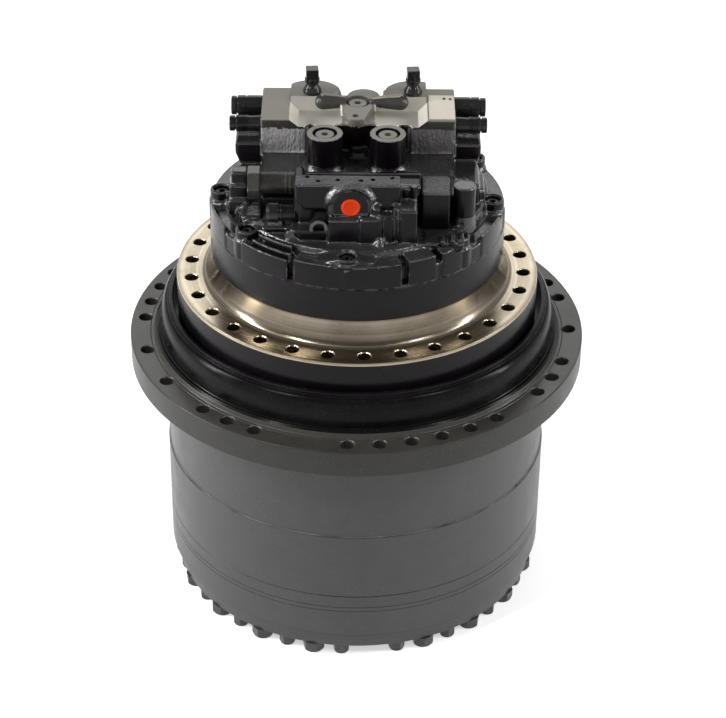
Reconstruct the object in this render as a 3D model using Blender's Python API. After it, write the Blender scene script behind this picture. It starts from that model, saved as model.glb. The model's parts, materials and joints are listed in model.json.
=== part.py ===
"""Excavator final drive: a two-stage planetary hub around its piston motor.

Metres, +Z up. The origin is under the end cover's bolt heads, on the hub axis, the motor is
on top, and -Y is the side with the pilot port. The hub, both ring gears and the end cover turn
about the fixed spindle of the motor housing.
"""
import bmesh
import bpy
from math import acos, cos, pi, radians, sin, tan
from mathutils import Matrix, Vector

# Fits
GAP = 0.0003
RUNNING_CLEARANCE = 0.0006
OVERRUN = 0.002
TURNED_SEGMENTS = 32
SMALL_SEGMENTS = 16
PIN_SEGMENTS = 12
HOLE_SEGMENTS = 6
HEX_SIDES = 6
PORT_SEGMENTS = 24
LUG_SEGMENTS = 10
FULL_TURN = 2 * pi
SHARP_ANGLE = radians(30)
MERGE_SHARE = 0.01
MERGE = GAP * MERGE_SHARE

# Gears: teeth of both stages share one module, and both ring gears share one tooth count
MODULE = 0.006
PRESSURE_ANGLE = radians(20)
RING_TEETH = 72
FIRST_SUN_TEETH = 12
SECOND_SUN_TEETH = 18
FIRST_PLANET_TEETH = (RING_TEETH - FIRST_SUN_TEETH) // 2
SECOND_PLANET_TEETH = (RING_TEETH - SECOND_SUN_TEETH) // 2
PLANET_ANGLES = tuple(radians(angle) for angle in (90, 210, 330))
SUN_SHIFT_SHARE = 0.35
ADDENDUM_SHARE = 1.0
DEDENDUM_SHARE = 1.25
BACKLASH = 0.0006
RING_PITCH_RADIUS = MODULE * RING_TEETH / 2
RING_TIP_RADIUS = RING_PITCH_RADIUS - MODULE * (ADDENDUM_SHARE + SUN_SHIFT_SHARE)
RING_ROOT_RADIUS = RING_PITCH_RADIUS + MODULE * (DEDENDUM_SHARE - SUN_SHIFT_SHARE)
FIRST_ARM = MODULE * (FIRST_SUN_TEETH + FIRST_PLANET_TEETH) / 2
SECOND_ARM = MODULE * (SECOND_SUN_TEETH + SECOND_PLANET_TEETH) / 2

# Heights of the hub's stack, from the bolt heads up
BOLT_HEAD_HEIGHT = 0.016
COVER_THICKNESS = 0.028
FIRST_RING_HEIGHT = 0.067
SECOND_RING_HEIGHT = 0.1025
DRUM_HEIGHT = 0.1385
SPROCKET_FLANGE_THICKNESS = 0.0385
SHOULDER_HEIGHT = 0.0105
DOME_HEIGHT = 0.039
LIP_HEIGHT = 0.006
Z_COVER = BOLT_HEAD_HEIGHT
Z_FIRST_RING = Z_COVER + COVER_THICKNESS
Z_SECOND_RING = Z_FIRST_RING + FIRST_RING_HEIGHT
Z_HUB = Z_SECOND_RING + SECOND_RING_HEIGHT
Z_FLANGE = Z_HUB + DRUM_HEIGHT
Z_FLANGE_TOP = Z_FLANGE + SPROCKET_FLANGE_THICKNESS
Z_SHOULDER = Z_FLANGE_TOP + SHOULDER_HEIGHT
Z_DOME_TOP = Z_SHOULDER + DOME_HEIGHT
Z_LIP_TOP = Z_DOME_TOP + LIP_HEIGHT

# Heights of the motor housing and its rear cover
HUB_TO_FRAME_GAP = 0.004
FRAME_FLANGE_THICKNESS = 0.035
FILLET_HEIGHT = 0.036
HOUSING_WALL_HEIGHT = 0.0475
REAR_COVER_THICKNESS = 0.0435
Z_FRAME = Z_LIP_TOP + HUB_TO_FRAME_GAP
Z_FRAME_TOP = Z_FRAME + FRAME_FLANGE_THICKNESS
Z_FILLET_TOP = Z_FRAME_TOP + FILLET_HEIGHT
Z_JOINT = Z_FILLET_TOP + HOUSING_WALL_HEIGHT
Z_REAR_COVER = Z_JOINT + GAP
Z_DECK = Z_REAR_COVER + REAR_COVER_THICKNESS

# Radii of the hub
RING_WALL = 0.0506
RING_GEAR_RADIUS = RING_ROOT_RADIUS + RING_WALL
DRUM_STEP = 0.002
DRUM_RADIUS = RING_GEAR_RADIUS - DRUM_STEP
COVER_STEP = 0.004
COVER_RADIUS = RING_GEAR_RADIUS - COVER_STEP
SPROCKET_FLANGE_REACH = 0.050
SPROCKET_FLANGE_RADIUS = DRUM_RADIUS + SPROCKET_FLANGE_REACH
STEP_REACH = 0.014
STEP_RADIUS = DRUM_RADIUS + STEP_REACH
SHOULDER_REACH = 0.008
SHOULDER_RADIUS = DRUM_RADIUS + SHOULDER_REACH
LIP_INSET = 0.005
LIP_RADIUS = DRUM_RADIUS - LIP_INSET
LIP_WIDTH = 0.006
LIP_INNER_RADIUS = LIP_RADIUS - LIP_WIDTH
HUB_WALL = 0.054
HUB_BORE_RADIUS = DRUM_RADIUS - HUB_WALL
GEAR_ROOM_RADIUS = RING_ROOT_RADIUS - DRUM_STEP
SEAL_INSET = 0.020
SEAL_BORE_RADIUS = LIP_INNER_RADIUS - SEAL_INSET
SEAL_DEPTH = 0.068
Z_SEAL = Z_LIP_TOP - SEAL_DEPTH
LIP_POCKET_DEPTH = 0.024
Z_LIP_FLOOR = Z_LIP_TOP - LIP_POCKET_DEPTH
HUB_WEB_REACH = 0.018
FILLET = 0.006

# Sprocket bolt holes lie on an even grid, where some places of the circle stay solid
SPROCKET_GRID = 44
SPROCKET_GRID_START = radians(-2.06)
SPROCKET_SOLID_PLACES = (-10, -8, -6, -2, -1, 6, 10, 12, 15, 17, 19, 22, -20, -17)
SPROCKET_HOLE_EDGE = 0.020
SPROCKET_HOLE_CIRCLE = SPROCKET_FLANGE_RADIUS - SPROCKET_HOLE_EDGE
SPROCKET_HOLE_RADIUS = 0.0100

# End cover
COVER_BOLT_PAIRS = 20
COVER_BOLT_START = radians(5)
COVER_BOLT_EDGE = 0.016
COVER_BOLT_CIRCLE = COVER_RADIUS - COVER_BOLT_EDGE
WIDE_HEAD_RADIUS = 0.0158
NARROW_HEAD_RADIUS = 0.0115
COVER_POCKET_DEPTH = 0.010
COVER_RIM = 0.048
THRUST_LAND_HEIGHT = 0.009
THRUST_LAND_WIDTH = 0.040
DRAIN_PLUG_INSET = 0.003
DRAIN_PLUG_RADIUS = 0.014
DRAIN_PLUG_HEIGHT = 0.010
DRAIN_BOSS_WALL = 0.006
DRAIN_CIRCLE = 0.175
DRAIN_ANGLES = (radians(40), radians(220))
THRUST_PAD_RADIUS = 0.020

# Bearings
OUTER_RACE_WALL = 0.0105
ROLLER_DIAMETER = 0.015
INNER_RACE_WALL = 0.0165
BEARING_WIDTH = 0.042
ROLLER_COUNT = 20
RACE_END_GAP = 0.006
SPINDLE_RADIUS = HUB_BORE_RADIUS - OUTER_RACE_WALL - ROLLER_DIAMETER - INNER_RACE_WALL
ROLLER_INSET = 0.003
CAGE_SHARE = 0.4

# Spindle of the motor housing
SPINDLE_SHOULDER = 0.010
NUT_SEAT_DEPTH = 0.007
NUT_RADIUS = SPINDLE_RADIUS - NUT_SEAT_DEPTH
NUT_WALL = 0.024
NUT_HEIGHT = 0.018
NUT_INSET = 0.009
NUT_SLOTS = 4
NUT_SLOT_DEPTH = 0.006
NUT_SLOT_TURN_SHARE = 0.35
SPINDLE_BORE_DEPTH = 0.033
SHAFT_WALL_HEIGHT = 0.045
SPINDLE_WALL = 0.046
CAVITY_RADIUS = SPINDLE_RADIUS - SPINDLE_WALL
BRAKE_LEDGE = 0.015
BLOCK_ROOM_RADIUS = CAVITY_RADIUS - BRAKE_LEDGE
Z_SPINDLE_END = Z_HUB - GAP
Z_NUT = Z_SPINDLE_END + NUT_INSET
Z_LOWER_BEARING = Z_NUT + NUT_HEIGHT + GAP
Z_UPPER_BEARING = Z_SEAL - RACE_END_GAP - BEARING_WIDTH
Z_SHAFT_WALL = Z_SPINDLE_END + SPINDLE_BORE_DEPTH
Z_CAVITY = Z_SHAFT_WALL + SHAFT_WALL_HEIGHT
FLANGE_SIDE_CLEARANCE = 0.007
FRAME_FLANGE_RADIUS = LIP_INNER_RADIUS - FLANGE_SIDE_CLEARANCE
FRAME_SKIRT_DEPTH = 0.020
SPINDLE_SKIRT_CLEARANCE = 0.004
SPINDLE_UNDER_DEPTH = 0.031
Z_SPINDLE_UNDER = Z_FRAME - SPINDLE_UNDER_DEPTH
FRAME_HOLE_COUNT = 30
FRAME_HOLE_START = radians(2.6)
FRAME_HOLE_EDGE = 0.020
FRAME_HOLE_CIRCLE = FRAME_FLANGE_RADIUS - FRAME_HOLE_EDGE
FRAME_HOLE_RADIUS = 0.0090
FRAME_HOLE_DEPTH = 0.030
HOUSING_INSET = 0.029
HOUSING_RADIUS = FRAME_HOLE_CIRCLE - HOUSING_INSET
FILLET_REACH = 0.012

# Second reduction stage: its carrier's spigot sits in the end of the spindle
SECOND_PIN_RADIUS = 0.026
SPIGOT_INSET = 0.006
SPIGOT_RADIUS = SECOND_ARM - SECOND_PIN_RADIUS - SPIGOT_INSET
SPINDLE_BORE_RADIUS = SPIGOT_RADIUS + GAP
SECOND_PLATE_THICKNESS = 0.018
STAGE_GAP = 0.003
SPIGOT_HEIGHT = 0.026
SHAFT_ROOM_RADIUS = 0.044

# Seal rings
SEAL_RING_WIDTH = 0.034

# First reduction stage
PIN_HEAD_THICKNESS = 0.003
PIN_HEAD_REACH = 0.006
FIRST_PIN_RADIUS = 0.020
FIRST_PLANET_WIDTH = 0.042
FIRST_PLATE_THICKNESS = 0.017
CARRIER_EDGE = 0.012
SUN_SHAFT_RADIUS = 0.022
SUN_STUB_RADIUS = 0.042
SUN_BORE_RADIUS = 0.028
Z_FIRST_PIN = Z_FIRST_RING + THRUST_LAND_HEIGHT + GAP
Z_FIRST_PLANET = Z_FIRST_PIN + PIN_HEAD_THICKNESS + GAP
Z_FIRST_PLATE = Z_FIRST_PLANET + FIRST_PLANET_WIDTH + GAP
Z_FIRST_PLATE_TOP = Z_FIRST_PLATE + FIRST_PLATE_THICKNESS

# Heights of the second reduction stage
Z_SECOND_PLATE_TOP = Z_SPINDLE_END - GAP
Z_SECOND_PLATE = Z_SECOND_PLATE_TOP - SECOND_PLATE_THICKNESS
Z_SECOND_PIN = Z_FIRST_PLATE_TOP + STAGE_GAP
Z_SECOND_PLANET = Z_SECOND_PIN + PIN_HEAD_THICKNESS + GAP
SECOND_PLANET_WIDTH = Z_SECOND_PLATE - GAP - Z_SECOND_PLANET

# Motor inside the housing
SHAFT_RADIUS = 0.028
SHAFT_TAIL_RADIUS = 0.020
COUPLING_RADIUS = 0.036
COUPLING_LENGTH = 0.030
COUPLING_DEPTH = 0.018
SEAL_HEIGHT = 0.010
SEAL_ROOM = 0.012
SHAFT_BEARING_WALL = 0.022
SHAFT_BEARING_HEIGHT = 0.026
REAR_BEARING_HEIGHT = 0.019
VALVE_PLATE_THICKNESS = 0.0115
VALVE_PLATE_RADIUS = 0.078
KIDNEY_RADIUS = 0.056
KIDNEY_WIDTH = 0.014
KIDNEY_SWEEP = radians(120)
BLOCK_CLEARANCE = 0.017
BLOCK_RADIUS = BLOCK_ROOM_RADIUS - BLOCK_CLEARANCE
BLOCK_LENGTH = 0.126
PISTON_COUNT = 9
PISTON_CIRCLE = 0.066
PISTON_RADIUS = 0.013
PISTON_REACH = 0.038
SWASH_CRADLE_RADIUS = 0.062
SWASH_HALF_WIDTH = 0.066
SWASH_FACE_DROP = 0.008
SWASH_TILT = radians(15)
SWASH_HOLE_RADIUS = 0.042
BRAKE_DEPTH = 0.099
BRAKE_DISC_THICKNESS = 0.004
BRAKE_DISC_REACH = 0.021
SEPARATOR_WIDTH = 0.026
BRAKE_PISTON_HEIGHT = 0.068
Z_BRAKE = Z_JOINT - BRAKE_DEPTH
Z_VALVE_PLATE = Z_JOINT - VALVE_PLATE_THICKNESS
Z_BLOCK_TOP = Z_VALVE_PLATE - RUNNING_CLEARANCE
Z_BLOCK = Z_BLOCK_TOP - BLOCK_LENGTH
Z_SWASH_AXIS = Z_CAVITY + GAP + SWASH_CRADLE_RADIUS

# Rear cover casting: heights above its deck
DECK_SINK = 0.010
FLOOR_RISE = 0.038
FRONT_BLOCK_RISE = 0.080
WEB_RISE = 0.078
TOP_RISE = 0.088
MAIN_PORT_RISE = 0.098
Z_TOP = Z_DECK + TOP_RISE
SIDE_BLOCK_X = (0.094, 0.133)
SIDE_BLOCK_Y = (0.024, 0.121)
SIDE_BLOCK_CHAMFER = 0.010
INNER_SLOPE = 0.012
BODY_X = 0.098
BODY_Y = (0.004, 0.118)
WEB_Y = (0.031, 0.108)
WEB_RECESS_X = (0.040, 0.084)
WEB_RECESS_Y = (0.040, 0.076)
WEB_RECESS_DEPTH = 0.006
SIDE_HOUSING_X = (0.120, 0.168)
SIDE_HOUSING_Y = (0.018, 0.116)
SIDE_HOUSING_RISE = 0.014
SIDE_HOUSING_ROUND = 0.018
PORT_BOSS_PLACES = ((-0.045, -0.013), (0.040, -0.013))
PORT_BOSS_RADIUS = 0.024
PORT_BOSS_RING_DEPTH = 0.0015
CENTRE_BOSS_PLACE = (-0.001, 0.080)
CENTRE_BOSS_RADIUS = 0.023
CENTRE_LOBE_PLACE = (-0.003, 0.040)
CENTRE_LOBE_RADIUS = 0.014
MAIN_PORT_PLACES = ((-0.064, 0.085), (0.075, 0.085))
MAIN_PORT_RADIUS = 0.041
REAR_PORT_PLACE = (0.007, 0.104)
REAR_PORT_RADIUS = 0.023
REAR_PORT_RISE = 0.085
HORN_RADIUS = 0.013
HORN_DROP = 0.006
SPOOL_Y = -0.080
SPOOL_RISE = 0.048
SPOOL_RADIUS = 0.012
SPOOL_STROKE = 0.008
SPOOL_END_WALL = 0.006
SPOOL_HOUSING_X = 0.084
SPOOL_HOUSING_HALF = 0.017
SPOOL_HOUSING_ROUND = 0.014
FRONT_BLOCK_X = (-0.082, 0.056)
FRONT_BLOCK_Y = (-0.142, -0.112)
FRONT_BLOCK_ROUND = 0.005
FRONT_BLOCK_UNDER = 0.042
NECK_Y = -0.134
NECK_RISE = 0.062
FRONT_FLOOR_Y = -0.040
FOOT_BLOCK_X = (-0.030, 0.078)
FOOT_BLOCK_Y = -0.160
FOOT_BLOCK_RISE = 0.037
FOOT_SLOT_X = (0.004, 0.034)
FOOT_SLOT_WIDTH = 0.006
FOOT_SLOT_DEPTH = 0.008
PILOT_PORT_X = -0.009
PILOT_PORT_RISE = 0.050
PILOT_PORT_RADIUS = 0.030
PILOT_PORT_REACH = 0.008
PILOT_PLUG_RADIUS = 0.0125
PILOT_PLUG_LENGTH = 0.014
PILOT_BORE_DEPTH = 0.012
RIGHT_BLOCK_WIDTH = 0.038
RIGHT_BLOCK_Y = (-0.117, -0.069)
RIGHT_BLOCK_RISE = 0.056
RIGHT_BLOCK_CHAMFER = 0.002
RIGHT_COLUMN_PLACE = (0.142, -0.096)
RIGHT_COLUMN_RADIUS = 0.015
RIGHT_COLUMN_RISE = 0.056
LUG_ANGLES = tuple(radians(angle) for angle in (-88, -52, -4, 46, 81, 119, 157, 195, 233))
LUG_EDGE = 0.017
LUG_CIRCLE = HOUSING_RADIUS - LUG_EDGE
LUG_RADIUS = 0.016
LUG_BORE_RADIUS = 0.0085
LUG_BORE_DEPTH = 0.014
DECK_STEP = 0.020
DECK_STEP_WIDTH = 0.022
RIM_NOTCH_ANGLES = (radians(-25.6), radians(18.2))
RIM_NOTCH_WIDTH = 0.012
RIM_NOTCH_DEPTH = 0.010

# Plugs, caps and valves on the rear cover
PORT_PLUG_RADIUS = 0.016
PORT_PLUG_HEIGHT = 0.012
PORT_PLUG_SOCKET_RADIUS = 0.006
PORT_PLUG_SOCKET_DEPTH = 0.006
VALVE_RISE = 0.072
REAR_VALVE_Y = 0.098
FRONT_VALVE_Y = 0.044
REAR_VALVE_RADIUS = 0.014
FRONT_VALVE_RADIUS = 0.0115
VALVE_LENGTH = 0.034
VALVE_CAP_LENGTH = 0.009
VALVE_CAP_STEP = 0.0025
VALVE_GROOVE = 0.0015
SPOOL_CAP_BARREL = 0.047
SPOOL_CAP_BARREL_RADIUS = 0.015
SPOOL_CAP_HEX = 0.015
SPOOL_CAP_HEX_RADIUS = 0.0225
PILOT_VALVE_Y = -0.121
PILOT_VALVE_RISE = 0.026
PILOT_VALVE_RADIUS = 0.010
PILOT_VALVE_CAP_RADIUS = 0.0135
PILOT_VALVE_LENGTH = 0.018
PILOT_VALVE_CAP_LENGTH = 0.020
FITTING_BACKSET = 0.010
FITTING_BASE_RADIUS = 0.0125
FITTING_BASE_HEIGHT = 0.010
FITTING_NECK_RADIUS = 0.0075
FITTING_NECK_HEIGHT = 0.012
FITTING_HEAD_RADIUS = 0.0105
FITTING_HEAD_HEIGHT = 0.011


def clear_scene():
    for thing in list(bpy.data.objects):
        bpy.data.objects.remove(thing, do_unlink=True)


def make_material(name, colour, roughness, metallic):
    material = bpy.data.materials.new(name)
    material.use_nodes = True
    shader = material.node_tree.nodes["Principled BSDF"]
    shader.inputs["Base Color"].default_value = (*colour, 1)
    shader.inputs["Roughness"].default_value = roughness
    shader.inputs["Metallic"].default_value = metallic
    return material


def polar(radius, angle):
    """Point at a radius; the angle runs from the front (-Y) towards +X."""
    return radius * sin(angle), -radius * cos(angle)


def inner_corner(radius, clearance, segments=SMALL_SEGMENTS):
    """Corner radius of a faceted bore whose flats clear a turning piece of the given radius."""
    return (radius + clearance) / cos(pi / segments)


def finish(name, bm, material, origin=(0, 0, 0), parent=None):
    bmesh.ops.remove_doubles(bm, verts=bm.verts, dist=MERGE)
    bmesh.ops.recalc_face_normals(bm, faces=bm.faces)
    bm.transform(Matrix.Translation(-Vector(origin)))
    mesh = bpy.data.meshes.new(name)
    bm.to_mesh(mesh)
    bm.free()
    mesh.shade_smooth()
    mesh.set_sharp_from_angle(angle=SHARP_ANGLE)
    mesh.materials.append(material)
    thing = bpy.data.objects.new(name, mesh)
    thing.location = origin
    if parent:
        thing.parent = parent
        thing.location = Vector(origin) - parent.location
    bpy.context.collection.objects.link(thing)
    return thing


def add_empty(name, origin, rotation=(0, 0, 0)):
    empty = bpy.data.objects.new(name, None)
    empty.location = origin
    empty.rotation_euler = rotation
    bpy.context.collection.objects.link(empty)
    return empty


def turned(profile, segments=TURNED_SEGMENTS, centre=(0, 0)):
    """Spin a closed (radius, height) outline about a vertical line; corners lie on the axes."""
    bm = bmesh.new()
    points = [bm.verts.new((radius, 0, height)) for radius, height in profile]
    edges = [bm.edges.new((points[i - 1], points[i])) for i in range(len(points))]
    bmesh.ops.spin(bm, geom=points + edges, cent=(0, 0, 0), axis=(0, 0, 1), angle=FULL_TURN,
                   steps=segments, use_merge=True)
    bmesh.ops.remove_doubles(bm, verts=bm.verts, dist=MERGE)
    bm.transform(Matrix.Translation((*centre, 0)))
    return bm


def tube_profile(inner, outer, low, high):
    return [(inner, low), (outer, low), (outer, high), (inner, high)]


def prism(outlines, low, high):
    """Extrude an outline, with any further outlines as holes, between two heights."""
    bm = bmesh.new()
    for outline in outlines:
        points = [bm.verts.new((x, y, low)) for x, y in outline]
        for i in range(len(points)):
            bm.edges.new((points[i - 1], points[i]))
    bmesh.ops.triangle_fill(bm, use_beauty=True, edges=bm.edges, normal=(0, 0, 1))
    lifted = bmesh.ops.extrude_face_region(bm, geom=bm.faces[:])
    corners = [item for item in lifted["geom"] if isinstance(item, bmesh.types.BMVert)]
    bmesh.ops.translate(bm, verts=corners, vec=(0, 0, high - low))
    return bm


def circle(radius, segments, centre=(0, 0), start=0.0):
    steps = [start + FULL_TURN * i / segments for i in range(segments)]
    return [(centre[0] + radius * cos(step), centre[1] + radius * sin(step)) for step in steps]


def column(radius, low, high, centre=(0, 0), segments=SMALL_SEGMENTS, start=0.0):
    return prism([circle(radius, segments, centre, start)], low, high)


def block(x, y, z):
    outline = [(x[0], y[0]), (x[1], y[0]), (x[1], y[1]), (x[0], y[1])]
    return prism([outline], z[0], z[1])


def laid_along_x(bm, y, z):
    """Turn a solid built about +Z so that its height runs along +X, at the given place."""
    bm.transform(Matrix.Translation((0, y, z)) @ Matrix.Rotation(pi / 2, 4, "Y"))
    return bm


def laid_along_y(bm, x, z):
    """Turn a solid built about +Z so that its height runs along +Y, at the given place."""
    bm.transform(Matrix.Translation((x, 0, z)) @ Matrix.Rotation(-pi / 2, 4, "X"))
    return bm


def guide(bm, name="guide"):
    """A hidden solid that a Boolean modifier uses."""
    bmesh.ops.remove_doubles(bm, verts=bm.verts, dist=MERGE)
    bmesh.ops.recalc_face_normals(bm, faces=bm.faces)
    mesh = bpy.data.meshes.new(name)
    bm.to_mesh(mesh)
    bm.free()
    thing = bpy.data.objects.new(name, mesh)
    thing.hide_render = True
    thing.display_type = "WIRE"
    bpy.context.collection.objects.link(thing)
    return thing


def combine(thing, bm, operation):
    helper = guide(bm, thing.name + "_" + operation.lower())
    modifier = thing.modifiers.new(helper.name, "BOOLEAN")
    modifier.operation = operation
    modifier.solver = "EXACT"
    modifier.object = helper


def join_to(thing, *solids):
    for solid in solids:
        combine(thing, solid, "UNION")


def cut_from(thing, *solids):
    for solid in solids:
        combine(thing, solid, "DIFFERENCE")


def several(solids):
    """Gather solids that stay apart from each other in one cutter."""
    bm = bmesh.new()
    for solid in solids:
        mesh = bpy.data.meshes.new("part_of_cutter")
        solid.to_mesh(mesh)
        solid.free()
        bm.from_mesh(mesh)
        bpy.data.meshes.remove(mesh)
    return bm


def involute(angle):
    return tan(angle) - angle


def tooth_half_angle(radius, teeth, shift):
    """Half of the angle that a tooth's solid, or a ring's space, takes up at a radius."""
    base = MODULE * teeth / 2 * cos(PRESSURE_ANGLE)
    at_pitch = pi / (2 * teeth) + 2 * shift * tan(PRESSURE_ANGLE) / teeth
    local = acos(min(base / radius, 1))
    return at_pitch + involute(PRESSURE_ANGLE) - involute(local)


def gear_outline(teeth, shift, steps, inside=False, phase=0.0):
    """Involute teeth, one centred on the phase angle; inside gives a ring gear's bore."""
    pitch = MODULE * teeth / 2
    if inside:
        low = RING_TIP_RADIUS
        high = RING_ROOT_RADIUS
        thinning = BACKLASH / 2
        centre = phase + pi / teeth
    else:
        low = pitch - MODULE * (DEDENDUM_SHARE - shift)
        high = pitch + MODULE * (ADDENDUM_SHARE + shift)
        thinning = -BACKLASH / 2
        centre = phase
    outline = []
    for tooth in range(teeth):
        middle = centre + FULL_TURN * tooth / teeth
        for side in (-1, 1):
            radii = [low + (high - low) * step / (steps - 1) for step in range(steps)]
            if side == 1:
                radii.reverse()
            for radius in radii:
                half = tooth_half_angle(radius, teeth, shift) + thinning / radius
                turn = middle + side * half
                outline.append((radius * cos(turn), radius * sin(turn)))
    return outline


# Hub side


def add_hub(material):
    web = HUB_BORE_RADIUS - HUB_WEB_REACH
    lower_web = Z_LOWER_BEARING + BEARING_WIDTH + GAP
    upper_web = Z_UPPER_BEARING - GAP
    profile = [
        (GEAR_ROOM_RADIUS, Z_HUB), (DRUM_RADIUS, Z_HUB), (DRUM_RADIUS, Z_FLANGE),
        (SPROCKET_FLANGE_RADIUS, Z_FLANGE), (SPROCKET_FLANGE_RADIUS, Z_FLANGE_TOP),
        (STEP_RADIUS + FILLET, Z_FLANGE_TOP), (STEP_RADIUS, Z_FLANGE_TOP + FILLET / 2),
        (SHOULDER_RADIUS, Z_SHOULDER)]
    steps = 4
    for step in range(1, steps + 1):
        turn = pi / 2 * step / steps
        rise = DOME_HEIGHT * sin(turn)
        profile.append((SHOULDER_RADIUS - (SHOULDER_RADIUS - LIP_RADIUS) * (1 - cos(turn)),
                        Z_SHOULDER + rise))
    profile += [
        (LIP_RADIUS, Z_LIP_TOP), (LIP_INNER_RADIUS, Z_LIP_TOP), (LIP_INNER_RADIUS, Z_LIP_FLOOR),
        (SEAL_BORE_RADIUS, Z_LIP_FLOOR), (SEAL_BORE_RADIUS, Z_SEAL), (HUB_BORE_RADIUS, Z_SEAL),
        (HUB_BORE_RADIUS, upper_web), (web, upper_web), (web, lower_web),
        (HUB_BORE_RADIUS, lower_web), (HUB_BORE_RADIUS, Z_LOWER_BEARING - GAP),
        (GEAR_ROOM_RADIUS, Z_LOWER_BEARING - GAP)]
    hub = finish("hub", turned(profile), material, parent=bpy.data.objects["hub_axis"])
    holes = []
    for place in range(-SPROCKET_GRID // 2 + 1, SPROCKET_GRID // 2 + 1):
        if place not in SPROCKET_SOLID_PLACES:
            turn = SPROCKET_GRID_START + FULL_TURN * place / SPROCKET_GRID
            spot = polar(SPROCKET_HOLE_CIRCLE, turn)
            holes.append(column(SPROCKET_HOLE_RADIUS, Z_FLANGE - OVERRUN, Z_FLANGE_TOP + OVERRUN,
                                spot, HOLE_SEGMENTS))
    cut_from(hub, several(holes))


def add_ring_gears(material):
    bore = gear_outline(RING_TEETH, -SUN_SHIFT_SHARE, 2, inside=True)
    for name, low, height in (("first_ring_gear", Z_FIRST_RING, FIRST_RING_HEIGHT),
                              ("second_ring_gear", Z_SECOND_RING, SECOND_RING_HEIGHT)):
        rim = circle(RING_GEAR_RADIUS, TURNED_SEGMENTS)
        solid = prism([rim, bore], low + GAP, low + height)
        finish(name, solid, material, parent=bpy.data.objects["hub_axis"])


def bolt_head(radius, place):
    return column(radius, 0, BOLT_HEAD_HEIGHT + OVERRUN, place, HEX_SIDES)


def drain_spot(index):
    return polar(DRAIN_CIRCLE, DRAIN_ANGLES[index])


def add_end_cover(material):
    rim = COVER_RADIUS - COVER_RIM
    land = (FIRST_ARM - THRUST_LAND_WIDTH / 2, FIRST_ARM + THRUST_LAND_WIDTH / 2)
    land_top = Z_FIRST_RING + THRUST_LAND_HEIGHT
    profile = [
        (0, Z_COVER + COVER_POCKET_DEPTH), (rim, Z_COVER + COVER_POCKET_DEPTH), (rim, Z_COVER),
        (COVER_RADIUS, Z_COVER), (COVER_RADIUS, Z_FIRST_RING), (land[1], Z_FIRST_RING),
        (land[1], land_top), (land[0], land_top), (land[0], Z_FIRST_RING), (0, Z_FIRST_RING)]
    cover = finish("end_cover", turned(profile), material, parent=bpy.data.objects["hub_axis"])
    heads = []
    for pair in range(COVER_BOLT_PAIRS):
        for half, radius in ((0, WIDE_HEAD_RADIUS), (1, NARROW_HEAD_RADIUS)):
            turn = COVER_BOLT_START + FULL_TURN * (pair + half / 2) / COVER_BOLT_PAIRS
            heads.append(bolt_head(radius, polar(COVER_BOLT_CIRCLE, turn)))
    join_to(cover, several(heads))
    bosses = [column(DRAIN_PLUG_RADIUS + DRAIN_BOSS_WALL, Z_COVER + DRAIN_PLUG_INSET,
                     Z_COVER + COVER_POCKET_DEPTH + OVERRUN, drain_spot(i), PIN_SEGMENTS)
              for i in range(2)]
    join_to(cover, several(bosses))
    bores = [column(DRAIN_PLUG_RADIUS + GAP, Z_COVER - OVERRUN,
                    Z_COVER + DRAIN_PLUG_INSET + DRAIN_PLUG_HEIGHT, drain_spot(i), PIN_SEGMENTS)
             for i in range(2)]
    cut_from(cover, several(bores))


def add_drain_plugs(material):
    low = Z_COVER + DRAIN_PLUG_INSET
    for index, name in enumerate(("drain_plug", "level_plug")):
        x, y = drain_spot(index)
        socket = DRAIN_PLUG_RADIUS / 2
        top = low + DRAIN_PLUG_HEIGHT - GAP
        profile = [(0, low + DRAIN_PLUG_HEIGHT / 2), (socket, low + DRAIN_PLUG_HEIGHT / 2),
                   (socket, low), (DRAIN_PLUG_RADIUS, low), (DRAIN_PLUG_RADIUS, top), (0, top)]
        finish(name, turned(profile, PIN_SEGMENTS, (x, y)), material, (x, y, low),
               bpy.data.objects["hub_axis"])


def add_thrust_pad(material):
    low = Z_FIRST_RING + GAP
    pad = column(THRUST_PAD_RADIUS, low, Z_FIRST_PLANET - GAP)
    finish("thrust_pad", pad, material, parent=bpy.data.objects["hub_axis"])


def add_bearing(name, low, steel, roller_steel, cage_parent):
    """An outer race, an inner race and the crown of caged rollers between them."""
    outer = HUB_BORE_RADIUS - GAP
    outer_inside = inner_corner(HUB_BORE_RADIUS - OUTER_RACE_WALL, 0, TURNED_SEGMENTS)
    inner = SPINDLE_RADIUS + GAP
    inner_outside = SPINDLE_RADIUS + INNER_RACE_WALL
    high = low + BEARING_WIDTH
    race = turned(tube_profile(outer_inside, outer, low, high))
    finish(name + "_outer_race", race, steel, parent=bpy.data.objects["hub_axis"])
    race = turned(tube_profile(inner, inner_outside, low, high))
    finish(name + "_inner_race", race, steel)
    room = outer_inside * cos(pi / TURNED_SEGMENTS) - inner_outside
    centre = inner_outside + room / 2
    roller = room / 2 - RUNNING_CLEARANCE
    cage = roller * CAGE_SHARE
    crown = []
    for side in (1, -1):
        outline = []
        for index in range(ROLLER_COUNT * 2):
            reach = cage if index % 2 else roller
            outline.append(polar(centre + side * reach, pi * index / ROLLER_COUNT))
        crown.append(outline)
    solid = prism(crown, low + ROLLER_INSET, high - ROLLER_INSET)
    finish(name + "_rollers", solid, roller_steel, parent=cage_parent)


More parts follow.
